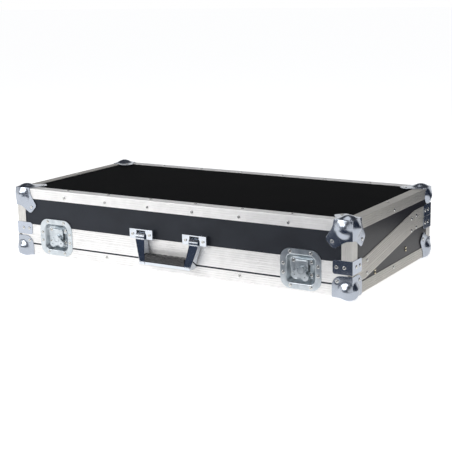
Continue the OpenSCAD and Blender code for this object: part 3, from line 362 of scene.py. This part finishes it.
FINISHED_IN = (
    (shaded_top_film, ("lid_top_board", "base_bottom_board")),
    (lit_front_film, ("lid_front_board", "lid_rear_board", "base_front_board", "base_rear_board")),
    (half_lit_side_film, ("lid_left_board", "lid_right_board", "base_left_board", "base_right_board")),
    (lit_front_aluminium, ("lid_wide_angles", "lid_seam_front", "lid_seam_rear")),
    (lit_front_aluminium, ("base_wide_angles", "base_seam_front", "base_seam_rear")),
    (shaded_deep_aluminium, ("lid_deep_angles", "lid_seam_left", "lid_seam_right")),
    (shaded_deep_aluminium, ("base_deep_angles", "base_seam_left", "base_seam_right")),
    (half_lit_upright_aluminium, ("lid_posts", "base_posts")),
    (corner_chrome, ("lid_corners_front", "lid_corners_rear")),
    (corner_chrome, ("base_corners_front", "base_corners_rear")),
    (brace_chrome, ("lid_braces", "base_braces")),
    (rivet_metal, ("lid_rivets", "base_rivets", "handle_screws", "handle_pins")),
    (handle_chrome, ("handle_brackets", "handle_bail")),
    (grip_rubber, ("handle_grip",)),
    (latch_zinc, ("latch_strikes", "latch_plates")),
    (hinge_zinc, ("hinge_lid_leaves", "hinge_base_leaves", "hinge_pins", "side_nuts")),
    (yellow_steel, ("side_bolts",)),
    (bracket_black, ("support_brackets",)),
    (lining_foam, ("lid_foam", "base_foam")),
)
FINISHES = {name: finish for finish, names in FINISHED_IN for name in names}
for side in ("left", "right"):
    for piece in ("lid_dish", "base_dish", "boss", "wing_pin", "wing", "hook"):
        FINISHES["latch_%s_%s" % (side, piece)] = latch_zinc


def dress(piece, material):
    piece.data.materials.clear()
    piece.data.materials.append(material)


for name, cad_node in frame["nodes"].items():
    dress(cad_node, FINISHES[name])

BODIES = frame["record"]["behaviour"]["bodies"]
BODY_OF = {member: body for body, members in BODIES.items() for member in members}


def piece_from(name, mesh):
    piece = bpy.data.objects.new(name, mesh)
    scene.collection.objects.link(piece)
    return piece


def stands_for(piece, cad_name):
    """A finished piece takes the place, body, slot and finish of a CAD node."""
    dress(piece, FINISHES[cad_name])
    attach(piece, BODY_OF[cad_name])
    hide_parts(cad_name)


def merged_copy(cad_name):
    """The CAD node's solid with its triangles joined and its flat faces made whole."""
    mesh = frame["nodes"][cad_name].data.copy()
    shell = bmesh.new()
    shell.from_mesh(mesh)
    bmesh.ops.remove_doubles(shell, verts=shell.verts, dist=MERGE)
    bmesh.ops.dissolve_limit(
        shell, angle_limit=math.radians(FLAT_TURN), verts=shell.verts, edges=shell.edges
    )
    for face in shell.faces:
        face.smooth = True
    shell.to_mesh(mesh)
    shell.free()
    return mesh


def turn_outwards(mesh):
    """Makes the faces of a closed mesh point outwards."""
    shell = bmesh.new()
    shell.from_mesh(mesh)
    bmesh.ops.recalc_face_normals(shell, faces=shell.faces)
    shell.to_mesh(mesh)
    shell.free()


def apply_modifiers(piece):
    graph = bpy.context.evaluated_depsgraph_get()
    done = bpy.data.meshes.new_from_object(piece.evaluated_get(graph))
    piece.modifiers.clear()
    piece.data = done


def eased(cad_name, width, steps=2):
    """The CAD node with its sharp edges rounded by width mm, as pressing or drawing leaves them."""
    piece = piece_from("eased_" + cad_name, merged_copy(cad_name))
    bevel = piece.modifiers.new("edges", "BEVEL")
    bevel.width = width * MM
    bevel.segments = steps
    bevel.limit_method = "ANGLE"
    bevel.angle_limit = math.radians(EDGE_TURN)
    level = piece.modifiers.new("flats", "WEIGHTED_NORMAL")
    level.weight = 100
    level.keep_sharp = True
    apply_modifiers(piece)
    stands_for(piece, cad_name)
    return piece


# How far edges are rounded, in mm: least where metal is stamped, most on the handle's bail
EASED = (
    (0.5, ("lid_braces", "base_braces")),
    (0.3, ("latch_strikes", "latch_plates")),
    (1.0, ("handle_brackets",)),
    (0.3, ("latch_left_boss", "latch_right_boss")),
    (0.35, ("latch_left_wing", "latch_right_wing")),
    (0.3, ("latch_left_hook", "latch_right_hook")),
    (2.6, ("handle_bail",)),
    (0.4, ("support_brackets",)),
    (0.3, ("hinge_lid_leaves", "hinge_base_leaves")),
)
for width, names in EASED:
    for name in names:
        eased(name, width)

# Pressed ball corners

# The sheet's thickness and the radius of its sheared rim
SHEET, RIM_R = 1.5, 0.6
# Spacing of the points at which a corner's form is taken
PRESS_STEP = 0.9
LARGE_BALL, SMALL_BALL = 32.0, 26.0
# How far along the case's edges a corner's form is taken, which is past all its legs
LARGE_REACH, SMALL_REACH = 83.0, 56.0
# Width of the soft root between the ball and its plates
BALL_BLEND = 7.0
# Each plate is dished outwards from its rim, and flat again where its rivet sits
DISHING, DISHING_EDGE = 0.45, 7.0
SEAT_R, SEAT_RIM = 5.2, 4.5
# A face whose middle lies between so far outside the case's surface and so far inside it is on it,
# where it can't be seen
TOUCH_OUT, TOUCH_IN = 0.05, 0.2


def arc(middle, radius, start, end, steps):
    turns = [math.radians(start + (end - start) * i / steps) for i in range(steps + 1)]
    return [(middle[0] + radius * math.cos(t), middle[1] + radius * math.sin(t)) for t in turns]


def three_leg_outline():
    """The leg of a large corner on one face: edge, hollow flank, round tongue on the diagonal, and back."""
    edge_run, flank, flank_turn = 51.0, 48.7, 41
    reach, half, tip = 88.0, 19.2, 10.0
    root = math.sqrt(0.5)
    hollow = arc((edge_run + flank, 0), flank, 180, 180 - flank_turn, 10)
    hollow[0] = (edge_run, -SHEET)
    tongue = [((a + b) * root, (a - b) * root) for a, b in arc((reach - tip, half - tip), tip, 90, 0, 8)]
    side = hollow + tongue
    return [(-SHEET, -SHEET)] + side + [(y, x) for x, y in reversed(side)]


def tab_outline(width, height, round_r):
    """A plate of a small corner or a strap: square at the case's corner, round at its free corner."""
    free = arc((width - round_r, height - round_r), round_r, 0, 90, 12)
    return [(-SHEET, -SHEET), (width, -SHEET)] + free + [(-SHEET, height)]


def outline_distance(x, y, outline):
    """Signed distance from an outline, negative inside it."""
    nearest = np.full(x.shape, 1e9)
    inside = np.zeros(x.shape, bool)
    for i, (bx, by) in enumerate(outline):
        ax, ay = outline[i - 1]
        ex, ey = bx - ax, by - ay
        t = np.clip(((x - ax) * ex + (y - ay) * ey) / (ex * ex + ey * ey), 0, 1)
        nearest = np.minimum(nearest, (x - ax - t * ex) ** 2 + (y - ay - t * ey) ** 2)
        if ey:
            inside ^= ((ay > y) != (by > y)) & (x < ax + ex * (y - ay) / ey)
    return np.where(inside, -1, 1) * np.sqrt(nearest)


def pressed_corner_field(ball, legs):
    """Distance field of a corner: three dished plates on the case's faces, a ball raised through them."""
    inset = ball - BALL_PROUD

    def field(x, y, z):
        plates = np.full(x.shape, 1e9)
        for (a, b, c), (outline, rivet) in zip(((x, y, z), (x, z, y), (y, z, x)), legs):
            within = outline_distance(a, b, outline)
            dished = DISHING * (1 - np.exp(np.minimum(within, 0) / DISHING_EDGE))
            if rivet:
                seat = np.clip((np.hypot(a - rivet, b - rivet) - SEAT_R) / SEAT_RIM, 0, 1)
                dished *= seat * seat * (3 - 2 * seat)
            across = np.maximum(within + RIM_R, 0)
            through = np.abs(c + SHEET / 2 + dished) - SHEET / 2 + RIM_R
            plate = np.hypot(across, np.maximum(through, 0)) - RIM_R
            plate += np.minimum(np.maximum(within + RIM_R, through), 0)
            plates = np.minimum(plates, plate)
        dome = np.sqrt((x - inset) ** 2 + (y - inset) ** 2 + (z - inset) ** 2) - ball
        share = np.clip(0.5 + 0.5 * (plates - dome) / BALL_BLEND, 0, 1)
        pressed = plates + (dome - plates) * share - BALL_BLEND * share * (1 - share)
        return np.maximum(pressed, np.minimum(np.minimum(x, y), z))

    return field


def skin_of(field, low, high, step):
    """Points and quads of a field's zero level: a point in each crossed cell, then drawn onto the level."""
    spans = [np.arange(a, b + step, step) for a, b in zip(low, high)]
    value = field(*np.meshgrid(*spans, indexing="ij"))
    size = value.shape

    def block(offset):
        return value[tuple(slice(offset[k], size[k] - 1 + offset[k]) for k in range(3))]

    corners = list(itertools.product((0, 1), repeat=3))
    filled = sum((block(c) < 0).astype(int) for c in corners)
    mixed = (filled > 0) & (filled < 8)
    cells = np.argwhere(mixed)
    number = np.full(mixed.shape, -1)
    number[mixed] = np.arange(len(cells))
    points, hits = np.zeros((len(cells), 3)), np.zeros(len(cells))
    for axis in range(3):
        for near in corners:
            if near[axis]:
                continue
            far = tuple(1 if k == axis else near[k] for k in range(3))
            a, b = block(near)[mixed], block(far)[mixed]
            cross = (a < 0) != (b < 0)
            place = np.tile(np.array(near, float), (len(cells), 1))
            place[:, axis] += np.where(cross, a / np.where(cross, a - b, 1), 0)
            points += place * cross[:, None]
            hits += cross
    points = np.array(low) + (points / hits[:, None] + cells) * step
    # Three steps down the field's slope bring each point onto the level
    nudge = 0.05 * step
    for _ in range(3):
        here = field(*points.T)
        slope = np.stack(
            [
                (field(*(points + nudge * unit).T) - field(*(points - nudge * unit).T)) / (2 * nudge)
                for unit in np.eye(3)
            ],
            1,
        )
        strength = np.maximum((slope**2).sum(1), 0.25)
        points -= slope * (here / strength)[:, None]
    # A quad round each crossed edge of the grid, through the points of its four cells
    quads = []
    for axis in range(3):
        b, c = (axis + 1) % 3, (axis + 2) % 3
        inner = [slice(1, size[k] - 1) for k in range(3)]
        inner[axis] = slice(0, size[axis] - 1)
        onward = list(inner)
        onward[axis] = slice(1, size[axis])
        start, end = value[tuple(inner)] < 0, value[tuple(onward)] < 0
        for outward in (True, False):
            found = np.argwhere((start == outward) & (end != outward))
            found += np.array([0 if k == axis else 1 for k in range(3)])
            ring = []
            for db, dc in ((1, 1), (0, 1), (0, 0), (1, 0)):
                cell = found.copy()
                cell[:, b] -= db
                cell[:, c] -= dc
                ring.append(number[tuple(cell.T)])
            quads.append(np.stack(ring if outward else ring[::-1], 1))
    return points, np.concatenate(quads)


def mesh_of(name, points, faces, sharp=40):
    mesh = bpy.data.meshes.new(name)
    mesh.from_pydata([tuple(p) for p in points], [], [tuple(f) for f in faces])
    mesh.polygons.foreach_set("use_smooth", [True] * len(mesh.polygons))
    mesh.set_sharp_from_angle(angle=math.radians(sharp))
    return mesh


def ball_corners(cad_name, ball, legs, reach, far, top):
    """A left and a right corner cap, pressed from the same field, as one piece for a CAD node."""
    margin = 2.0
    low = [-BALL_PROUD - margin] * 3
    points, quads = skin_of(pressed_corner_field(ball, legs), low, [reach + margin] * 3, PRESS_STEP)
    middle = points[quads].mean(1)
    against_case = (middle > -TOUCH_OUT).all(1) & (np.abs(middle.min(1)) < TOUCH_IN)
    quads = quads[~against_case]
    all_points, all_quads = [], []
    for mirror in (1, -1):
        x = mirror * (CASE_W / 2 - points[:, 0])
        y = CASE_D - points[:, 1] if far else points[:, 1]
        z = CASE_H - points[:, 2] if top else points[:, 2]
        placed = np.stack([x, y - CASE_MID_Y, z + BALL_PROUD], 1) * MM
        flips = (mirror == 1) + far + top
        all_quads.append((quads[:, ::-1] if flips % 2 else quads) + len(all_points) * len(points))
        all_points.append(placed)
    piece = piece_from(
        "pressed_" + cad_name,
        mesh_of("pressed_" + cad_name, np.concatenate(all_points), np.concatenate(all_quads)),
    )
    stands_for(piece, cad_name)


# Each plate's outline, and how far its rivet sits from both edges of the case
leg = (three_leg_outline(), 54.5)
strap = (tab_outline(36.0, 42.0, 6.0), None)
round_plate = (tab_outline(55.0, 55.0, 27.0), 40.5)
ball_corners("lid_corners_front", LARGE_BALL, [leg] * 3, LARGE_REACH, far=False, top=True)
ball_corners("lid_corners_rear", LARGE_BALL, [leg, strap, strap], LARGE_REACH, far=True, top=True)
ball_corners("base_corners_rear", LARGE_BALL, [leg] * 3, LARGE_REACH, far=True, top=False)
ball_corners("base_corners_front", SMALL_BALL, [round_plate] * 3, SMALL_REACH, far=False, top=False)

# Pressed latch dishes

LATCH_X = 395.0
# Half the gap between the two halves of a dish
SEAM_CUT = 0.2
# Width and height of the dish's mouth and of its flange
MOUTH, FLANGE = (85.0, 77.0), (116.0, 105.0)


def round_loop(width, height, radius, depth, steps=9):
    """A rounded rectangle as a loop of points: across, up, and out of the face."""
    loop = []
    for quarter, (sx, sy) in enumerate(((1, 1), (-1, 1), (-1, -1), (1, -1))):
        middle = (sx * (width / 2 - radius), sy * (height / 2 - radius))
        loop += [(x, y, depth) for x, y in arc(middle, radius, 90 * quarter, 90 * quarter + 90, steps)]
    return loop


# Round the sheet, from the back of the floor by way of the flange to the front of the floor: the
# outline that a loop follows, how far outside it, its corner radius, and how far before the case
DISH_LOOPS = (
    (MOUTH, -9.3, 11.0, -13.7),
    (MOUTH, -8.0, 12.2, -13.3),
    (MOUTH, -6.8, 13.0, -11.4),
    (MOUTH, -0.8, 16.2, -0.6),
    (MOUTH, 0.0, 17.0, 0.0),
    (FLANGE, -0.2, 28.8, 0.0),
    (FLANGE, 0.0, 29.0, 0.35),
    (FLANGE, 0.0, 29.0, 1.05),
    (FLANGE, -0.5, 28.5, 1.5),
    (MOUTH, 1.5, 18.5, 1.5),
    (MOUTH, 0.3, 17.3, 1.38),
    (MOUTH, -0.9, 16.1, 0.9),
    (MOUTH, -1.7, 15.3, 0.0),
    (MOUTH, -2.2, 14.8, -1.4),
    (MOUTH, -7.5, 12.2, -10.4),
    (MOUTH, -8.4, 11.6, -11.7),
    (MOUTH, -9.8, 10.6, -12.5),
)


def pressed_dish(cad_name, side, up):
    """One half of a latch dish, drawn from its loops and sawn off at the seam."""
    loops = [
        round_loop(width + 2 * outside, height + 2 * outside, radius, depth)
        for (width, height), outside, radius, depth in DISH_LOOPS
    ]
    count = len(loops[0])
    shell = bmesh.new()
    rings = [[shell.verts.new(point) for point in loop] for loop in loops]
    for lower, upper in zip(rings, rings[1:]):
        for i in range(count):
            j = (i + 1) % count
            shell.faces.new((lower[j], lower[i], upper[i], upper[j]))
    shell.faces.new(rings[0])
    shell.faces.new(rings[-1])
    bmesh.ops.recalc_face_normals(shell, faces=shell.faces)
    sawn = bmesh.ops.bisect_plane(
        shell,
        geom=shell.verts[:] + shell.edges[:] + shell.faces[:],
        plane_co=(0, up * SEAM_CUT, 0),
        plane_no=(0, -up, 0),
        clear_outer=True,
    )
    rim = [g for g in sawn["geom_cut"] if isinstance(g, bmesh.types.BMEdge)]
    bmesh.ops.triangle_fill(shell, edges=rim, use_beauty=True)
    for face in shell.faces:
        face.smooth = True
    for vert in shell.verts:
        across, height, out = vert.co
        vert.co = from_case(side * LATCH_X + across, -out, SEAM_LOW + height)
    bmesh.ops.recalc_face_normals(shell, faces=shell.faces)
    mesh = bpy.data.meshes.new("pressed_" + cad_name)
    shell.to_mesh(mesh)
    shell.free()
    mesh.set_sharp_from_angle(angle=math.radians(35))
    stands_for(piece_from("pressed_" + cad_name, mesh), cad_name)


for side, word in ((-1, "left"), (1, "right")):
    pressed_dish("latch_%s_lid_dish" % word, side, 1)
    pressed_dish("latch_%s_base_dish" % word, side, -1)

# Set rivets


def turned_tree(name, profile, turns, steps):
    """Geometry Nodes that set a turned head on each point, facing the way the point's attribute says."""
    tree = bpy.data.node_groups.new(name, "GeometryNodeTree")
    face = tree.interface
    face.new_socket("Seats", in_out="INPUT", socket_type="NodeSocketGeometry")
    for label in ("Head diameter", "Head height"):
        face.new_socket(label, in_out="INPUT", socket_type="NodeSocketFloat")
    face.new_socket("Metal", in_out="INPUT", socket_type="NodeSocketMaterial")
    face.new_socket("Heads", in_out="OUTPUT", socket_type="NodeSocketGeometry")
    given = add(tree, "NodeGroupInput").outputs
    sheet = add(
        tree,
        "GeometryNodeMeshGrid",
        {"Size X": 1.0, "Size Y": 1.0, "Vertices X": turns + 1, "Vertices Y": steps + 1},
    )
    place = add(tree, "GeometryNodeInputPosition")
    spot = add(tree, "ShaderNodeSeparateXYZ", {"Vector": place.outputs[0]})
    angle = add(tree, "ShaderNodeMath", {0: spot.outputs["X"], 1: -2 * math.pi}, operation="MULTIPLY")
    along = add(tree, "ShaderNodeMath", {0: spot.outputs["Y"], 1: 0.5}, operation="ADD").outputs[0]
    shape = []
    for column, scale in ((1, "Head diameter"), (2, "Head height")):
        curve = add(tree, "ShaderNodeFloatCurve", {"Value": along})
        line = curve.mapping.curves[0]
        while len(line.points) < len(profile):
            line.points.new(0.5, 0.5)
        for point, row in zip(line.points, profile):
            # The curve holds 0 to 1, for shares from -1 to 1
            point.location = (row[0], (row[column] + 1) / 2)
            point.handle_type = "VECTOR"
        curve.mapping.update()
        share = add(tree, "ShaderNodeMapRange", {"Value": curve.outputs[0], "To Min": -1.0}).outputs[0]
        size = add(tree, "ShaderNodeMath", {0: share, 1: given[scale]}, operation="MULTIPLY")
        shape.append(size.outputs[0])
    radius, height = shape
    ring = []
    for trace in ("COSINE", "SINE"):
        swing = add(tree, "ShaderNodeMath", {0: angle.outputs[0]}, operation=trace).outputs[0]
        reach = add(tree, "ShaderNodeMath", {0: swing, 1: radius}, operation="MULTIPLY")
        ring.append(reach.outputs[0])
    turned = add(tree, "ShaderNodeCombineXYZ", {"X": ring[0], "Y": ring[1], "Z": height}).outputs[0]
    head = add(tree, "GeometryNodeSetPosition", {"Geometry": sheet.outputs["Mesh"], "Position": turned})
    closed = add(tree, "GeometryNodeMergeByDistance", {"Geometry": head.outputs[0], "Distance": MERGE})
    smooth = add(tree, "GeometryNodeSetShadeSmooth", {"Geometry": closed.outputs[0]})
    facing = add(tree, "GeometryNodeInputNamedAttribute", {"Name": "facing"}, data_type="FLOAT_VECTOR")
    aim = add(
        tree, "FunctionNodeAlignRotationToVector", {"Vector": facing.outputs["Attribute"]}, axis="Z"
    )
    placed = add(
        tree,
        "GeometryNodeInstanceOnPoints",
        {"Points": given["Seats"], "Instance": smooth.outputs[0], "Rotation": aim.outputs[0]},
    )
    real = add(tree, "GeometryNodeRealizeInstances", {"Geometry": placed.outputs[0]})
    metal = add(tree, "GeometryNodeSetMaterial", {"Geometry": real.outputs[0], "Material": given["Metal"]})
    add(tree, "NodeGroupOutput", {0: metal.outputs[0]})
    return tree


def seats_of(cad_name, head_d):
    """Where each rivet or screw of a CAD node has its head: the seat's middle and the way it faces."""
    shell = bmesh.new()
    shell.from_mesh(frame["nodes"][cad_name].data)
    bmesh.ops.remove_doubles(shell, verts=shell.verts, dist=MERGE)
    left = set(shell.verts)
    seats, ways = [], []
    while left:
        island, front = [], [left.pop()]
        while front:
            vert = front.pop()
            island.append(tuple(vert.co))
            for edge in vert.link_edges:
                other = edge.other_vert(vert)
                if other in left:
                    left.discard(other)
                    front.append(other)
        spots = np.array(island)
        size = np.ptp(spots, axis=0)
        axis = int(np.argmax(np.abs(size - head_d * MM)))
        middle = (spots.max(0) + spots.min(0)) / 2
        away = spots - middle
        away[:, axis] = 0
        rim = spots[np.sqrt((away**2).sum(1)) > 0.49 * head_d * MM]
        sign = 1.0 if rim[:, axis].mean() > middle[axis] else -1.0
        seat = middle.copy()
        seat[axis] = rim[:, axis].min() if sign > 0 else rim[:, axis].max()
        way = np.zeros(3)
        way[axis] = sign
        seats.append(seat)
        ways.append(way)
    shell.free()
    return seats, ways


def set_heads(cad_name, tree, head_d, head_h):
    """A turned head on each rivet of a CAD node, as one plain mesh."""
    seats, ways = seats_of(cad_name, head_d)
    mesh = bpy.data.meshes.new("seats_" + cad_name)
    mesh.from_pydata([tuple(s) for s in seats], [], [])
    facing = mesh.attributes.new("facing", "FLOAT_VECTOR", "POINT")
    facing.data.foreach_set("vector", np.array(ways, np.float32).ravel())
    piece = piece_from("turned_" + cad_name, mesh)
    setter = piece.modifiers.new("heads", "NODES")
    setter.node_group = tree
    sockets = {s.name: s.identifier for s in tree.interface.items_tree if s.in_out == "INPUT"}
    setter[sockets["Head diameter"]] = head_d * MM
    setter[sockets["Head height"]] = head_h * MM
    setter[sockets["Metal"]] = FINISHES[cad_name]
    apply_modifiers(piece)
    turn_outwards(piece.data)
    piece.data.set_sharp_from_angle(angle=math.radians(38))
    stands_for(piece, cad_name)


RIVET_HEAD_D, RIVET_HEAD_H = 9.5, 1.7
# From the floor of the mandrel hole over the dome to the rim and under the sheet: the way along, the
# distance from the axis as a share of the diameter, and the height as a share of the head's
RIVET_SHARES = (
    (0.0, 0.0, -0.9),
    (0.12, 0.13, -0.9),
    (0.24, 0.15, 0.94),
    (0.4, 0.3, 0.98),
    (0.58, 0.42, 0.78),
    (0.75, 0.49, 0.38),
    (0.85, 0.5, 0.0),
    (1.0, 0.3, 0.0),
)
rivet_tree = turned_tree("set rivets", RIVET_SHARES, turns=20, steps=16)
for name in ("lid_rivets", "base_rivets"):
    set_heads(name, rivet_tree, RIVET_HEAD_D, RIVET_HEAD_H)

# Moulded grip

GRIP_HALF = 63.8
GRIP_DEPTH, GRIP_HEIGHT, GRIP_ROUND = 25.0, 21.0, 5.25
# The middle of its section: before the case's front face, and above its underside
GRIP_OUT, GRIP_UP = 18.5, 41.85
# The ribs: how many start round the girth, how steeply they wind, and how deep they are cut
RIB_STARTS, RIB_CLIMB, RIB_DEPTH = 12, 0.364, 1.8
# Each end stays plain, and the ribs fade in from there
PLAIN_END, FADE = 1.5, 4.0
# How far back from its ends the grip is rounded over
END_ROUND = 1.2
GRIP_FACET, GRIP_STATIONS = 0.6, 181


def moulded_grip():
    """The grip, with shallow ribs that wind round it and die out before its plain ends."""
    loop = [(y, z) for y, z, _ in round_loop(GRIP_DEPTH, GRIP_HEIGHT, GRIP_ROUND, 0, steps=12)]
    fine = []
    for (ay, az), (by, bz) in zip(loop, loop[1:] + loop[:1]):
        pieces = max(1, round(math.hypot(by - ay, bz - az) / GRIP_FACET))
        fine += [(ay + (by - ay) * k / pieces, az + (bz - az) * k / pieces) for k in range(pieces)]
    ring = np.array(fine)
    ahead_of = np.roll(ring, -1, 0) - np.roll(ring, 1, 0)
    out = np.stack([ahead_of[:, 1], -ahead_of[:, 0]], 1)
    out /= np.linalg.norm(out, axis=1)[:, None]
    steps = np.linalg.norm(np.roll(ring, -1, 0) - ring, axis=1)
    run = np.concatenate([[0], np.cumsum(steps)[:-1]])
    girth = steps.sum()
    pitch = girth / RIB_STARTS / RIB_CLIMB
    points = []
    for x in np.linspace(-GRIP_HALF, GRIP_HALF, GRIP_STATIONS):
        from_end = GRIP_HALF - abs(x)
        ribbed = np.clip((from_end - PLAIN_END) / FADE, 0, 1)
        wave = 0.5 + 0.5 * np.cos(2 * math.pi * (run * RIB_STARTS / girth - x / pitch))
        rounded = END_ROUND * (1 - np.clip(from_end / END_ROUND, 0, 1)) ** 2
        section = ring - out * (RIB_DEPTH * ribbed * wave**1.5 + rounded)[:, None]
        points += [from_case(x, y - GRIP_OUT, z + GRIP_UP) for y, z in section]
    count = len(ring)
    last = (GRIP_STATIONS - 1) * count
    faces = []
    for first in range(0, last, count):
        for k in range(count):
            j = (k + 1) % count
            faces.append((first + k, first + j, first + count + j, first + count + k))
    faces += [tuple(range(count))[::-1], tuple(range(last, last + count))]
    mesh = mesh_of("moulded_handle_grip", points, faces, sharp=50)
    turn_outwards(mesh)
    stands_for(piece_from("moulded_handle_grip", mesh), "handle_grip")


moulded_grip()

# Foam lining

FOAM_ROUND = 2.0
for name in ("lid_foam", "base_foam"):
    lining = eased(name, FOAM_ROUND, steps=3)

# Floor, softboxes, flags and room

FLOOR_HALF = 30.0


def flat_sheet(name, low, high, material):
    """A staged rectangle between two corners that differ along two axes, in metres."""
    first, second = [k for k in range(3) if low[k] != high[k]]
    beside, above = list(low), list(low)
    beside[first] = high[first]
    above[second] = high[second]
    mesh = bpy.data.meshes.new(name)
    mesh.from_pydata([low, beside, high, above], [], [(0, 1, 2, 3)])
    sheet = piece_from(name, mesh)
    dress(sheet, material)
    return sheet


def rays_of(tree):
    """Whether a ray comes straight from the camera, and whether it comes off a gloss or through glass."""
    path = add(tree, "ShaderNodeLightPath").outputs
    bounced = add(
        tree,
        "ShaderNodeMath",
        {0: path["Is Glossy Ray"], 1: path["Is Transmission Ray"]},
        operation="MAXIMUM",
    )
    return path["Is Camera Ray"], bounced.outputs[0]


# White to the eye and in every reflection; the paint under the glow still takes the case's shadow
floor_paint, tree = new_material("painted studio floor")
straight, bounced = rays_of(tree)
seen = add(tree, "ShaderNodeMath", {0: straight, 1: bounced}, operation="MAXIMUM")
paint = add(tree, "ShaderNodeBsdfDiffuse", {"Color": linear("#e6e6e6")})
glow = add(tree, "ShaderNodeEmission", {"Color": linear("#ffffff"), "Strength": 0.8})
lit = add(tree, "ShaderNodeAddShader", {0: paint.outputs[0], 1: glow.outputs[0]})
either = add(
    tree, "ShaderNodeMixShader", {"Fac": seen.outputs[0], 1: paint.outputs[0], 2: lit.outputs[0]}
)
add(tree, "ShaderNodeOutputMaterial", {"Surface": either.outputs[0]})
flat_sheet("floor", (-FLOOR_HALF, -FLOOR_HALF, 0), (FLOOR_HALF, FLOOR_HALF, 0), floor_paint)


def softbox(name, place, aim, width, height, power):
    data = bpy.data.lights.new(name, "AREA")
    data.shape = "RECTANGLE"
    data.size, data.size_y = width, height
    data.energy = power
    lamp = bpy.data.objects.new(name, data)
    scene.collection.objects.link(lamp)
    lamp.location = place
    lamp.rotation_euler = (Vector(aim) - Vector(place)).to_track_quat("-Z", "Y").to_euler()


# Where each stands, what it is aimed at, its width and height, all in metres, and its watts
softbox("key softbox, front left", (-1.4, -2.7, 1.5), (0, 0, 0.1), 2.4, 1.4, 58)
softbox("overhead softbox", (0.2, 0.3, 2.6), (0, 0, 0), 2.4, 1.4, 14)

# Grey flags lie on the white ground before and behind the case, hang in front of it and stand on its
# right, as for any chrome. They show only in its reflections, and there they give each plate its
# dark side. The two corners of each, in metres
flag_felt, tree = new_material("blue-grey felt, studio flags")
nap = add(tree, "ShaderNodeBsdfDiffuse", {"Color": linear("#465064")})
add(tree, "ShaderNodeOutputMaterial", {"Surface": nap.outputs[0]})
LIFT = 0.004
FLAGS = {
    "front_flag": ((0.05, -1.9, LIFT), (0.75, -0.4, LIFT)),
    "handle_flag": ((-0.75, -1.9, LIFT), (0.05, -0.76, LIFT)),
    "hanging_flag": ((-3.6, -2.6, 0.02), (0.9, -2.6, 1.05)),
    "rear_flag": ((0.62, 0.55, LIFT), (2.2, 2.4, LIFT)),
    "side_flag": ((2.2, -1.0, LIFT), (2.2, 2.4, 1.3)),
}
for name, (low, high) in FLAGS.items():
    flag = flat_sheet(name, low, high, flag_felt)
    flag.visible_camera = flag.visible_diffuse = flag.visible_shadow = False

# The room: an even pale tent for soft light, with the white backdrop and a dim ceiling in reflections
world = bpy.data.worlds.new("studio")
scene.world = world
world.use_nodes = True
tree = world.node_tree
tree.nodes.clear()
straight, bounced = rays_of(tree)
way = add(tree, "ShaderNodeTexCoord").outputs["Generated"]
rise = add(tree, "ShaderNodeSeparateXYZ", {"Vector": way}).outputs["Z"]
BACKDROP, CEILING_EDGE, CEILING = linear("#ffffff"), linear("#3c3f46"), linear("#4a4d55")
room = add(
    tree,
    "ShaderNodeValToRGB",
    {"Fac": rise},
    [(0.0, BACKDROP), (0.3, BACKDROP), (0.48, CEILING_EDGE), (1.0, CEILING)],
)
tent = add(tree, "ShaderNodeBackground", {"Color": linear("#dcdee2"), "Strength": 0.32})
backdrop = add(tree, "ShaderNodeBackground", {"Color": room.outputs[0], "Strength": 1.0})
white = add(tree, "ShaderNodeBackground", {"Color": linear("#ffffff"), "Strength": 1.0})
around = add(tree, "ShaderNodeMixShader", {"Fac": bounced, 1: tent.outputs[0], 2: backdrop.outputs[0]})
behind = add(tree, "ShaderNodeMixShader", {"Fac": straight, 1: around.outputs[0], 2: white.outputs[0]})
add(tree, "ShaderNodeOutputWorld", {"Surface": behind.outputs[0]})

scene.view_settings.view_transform = "Standard"
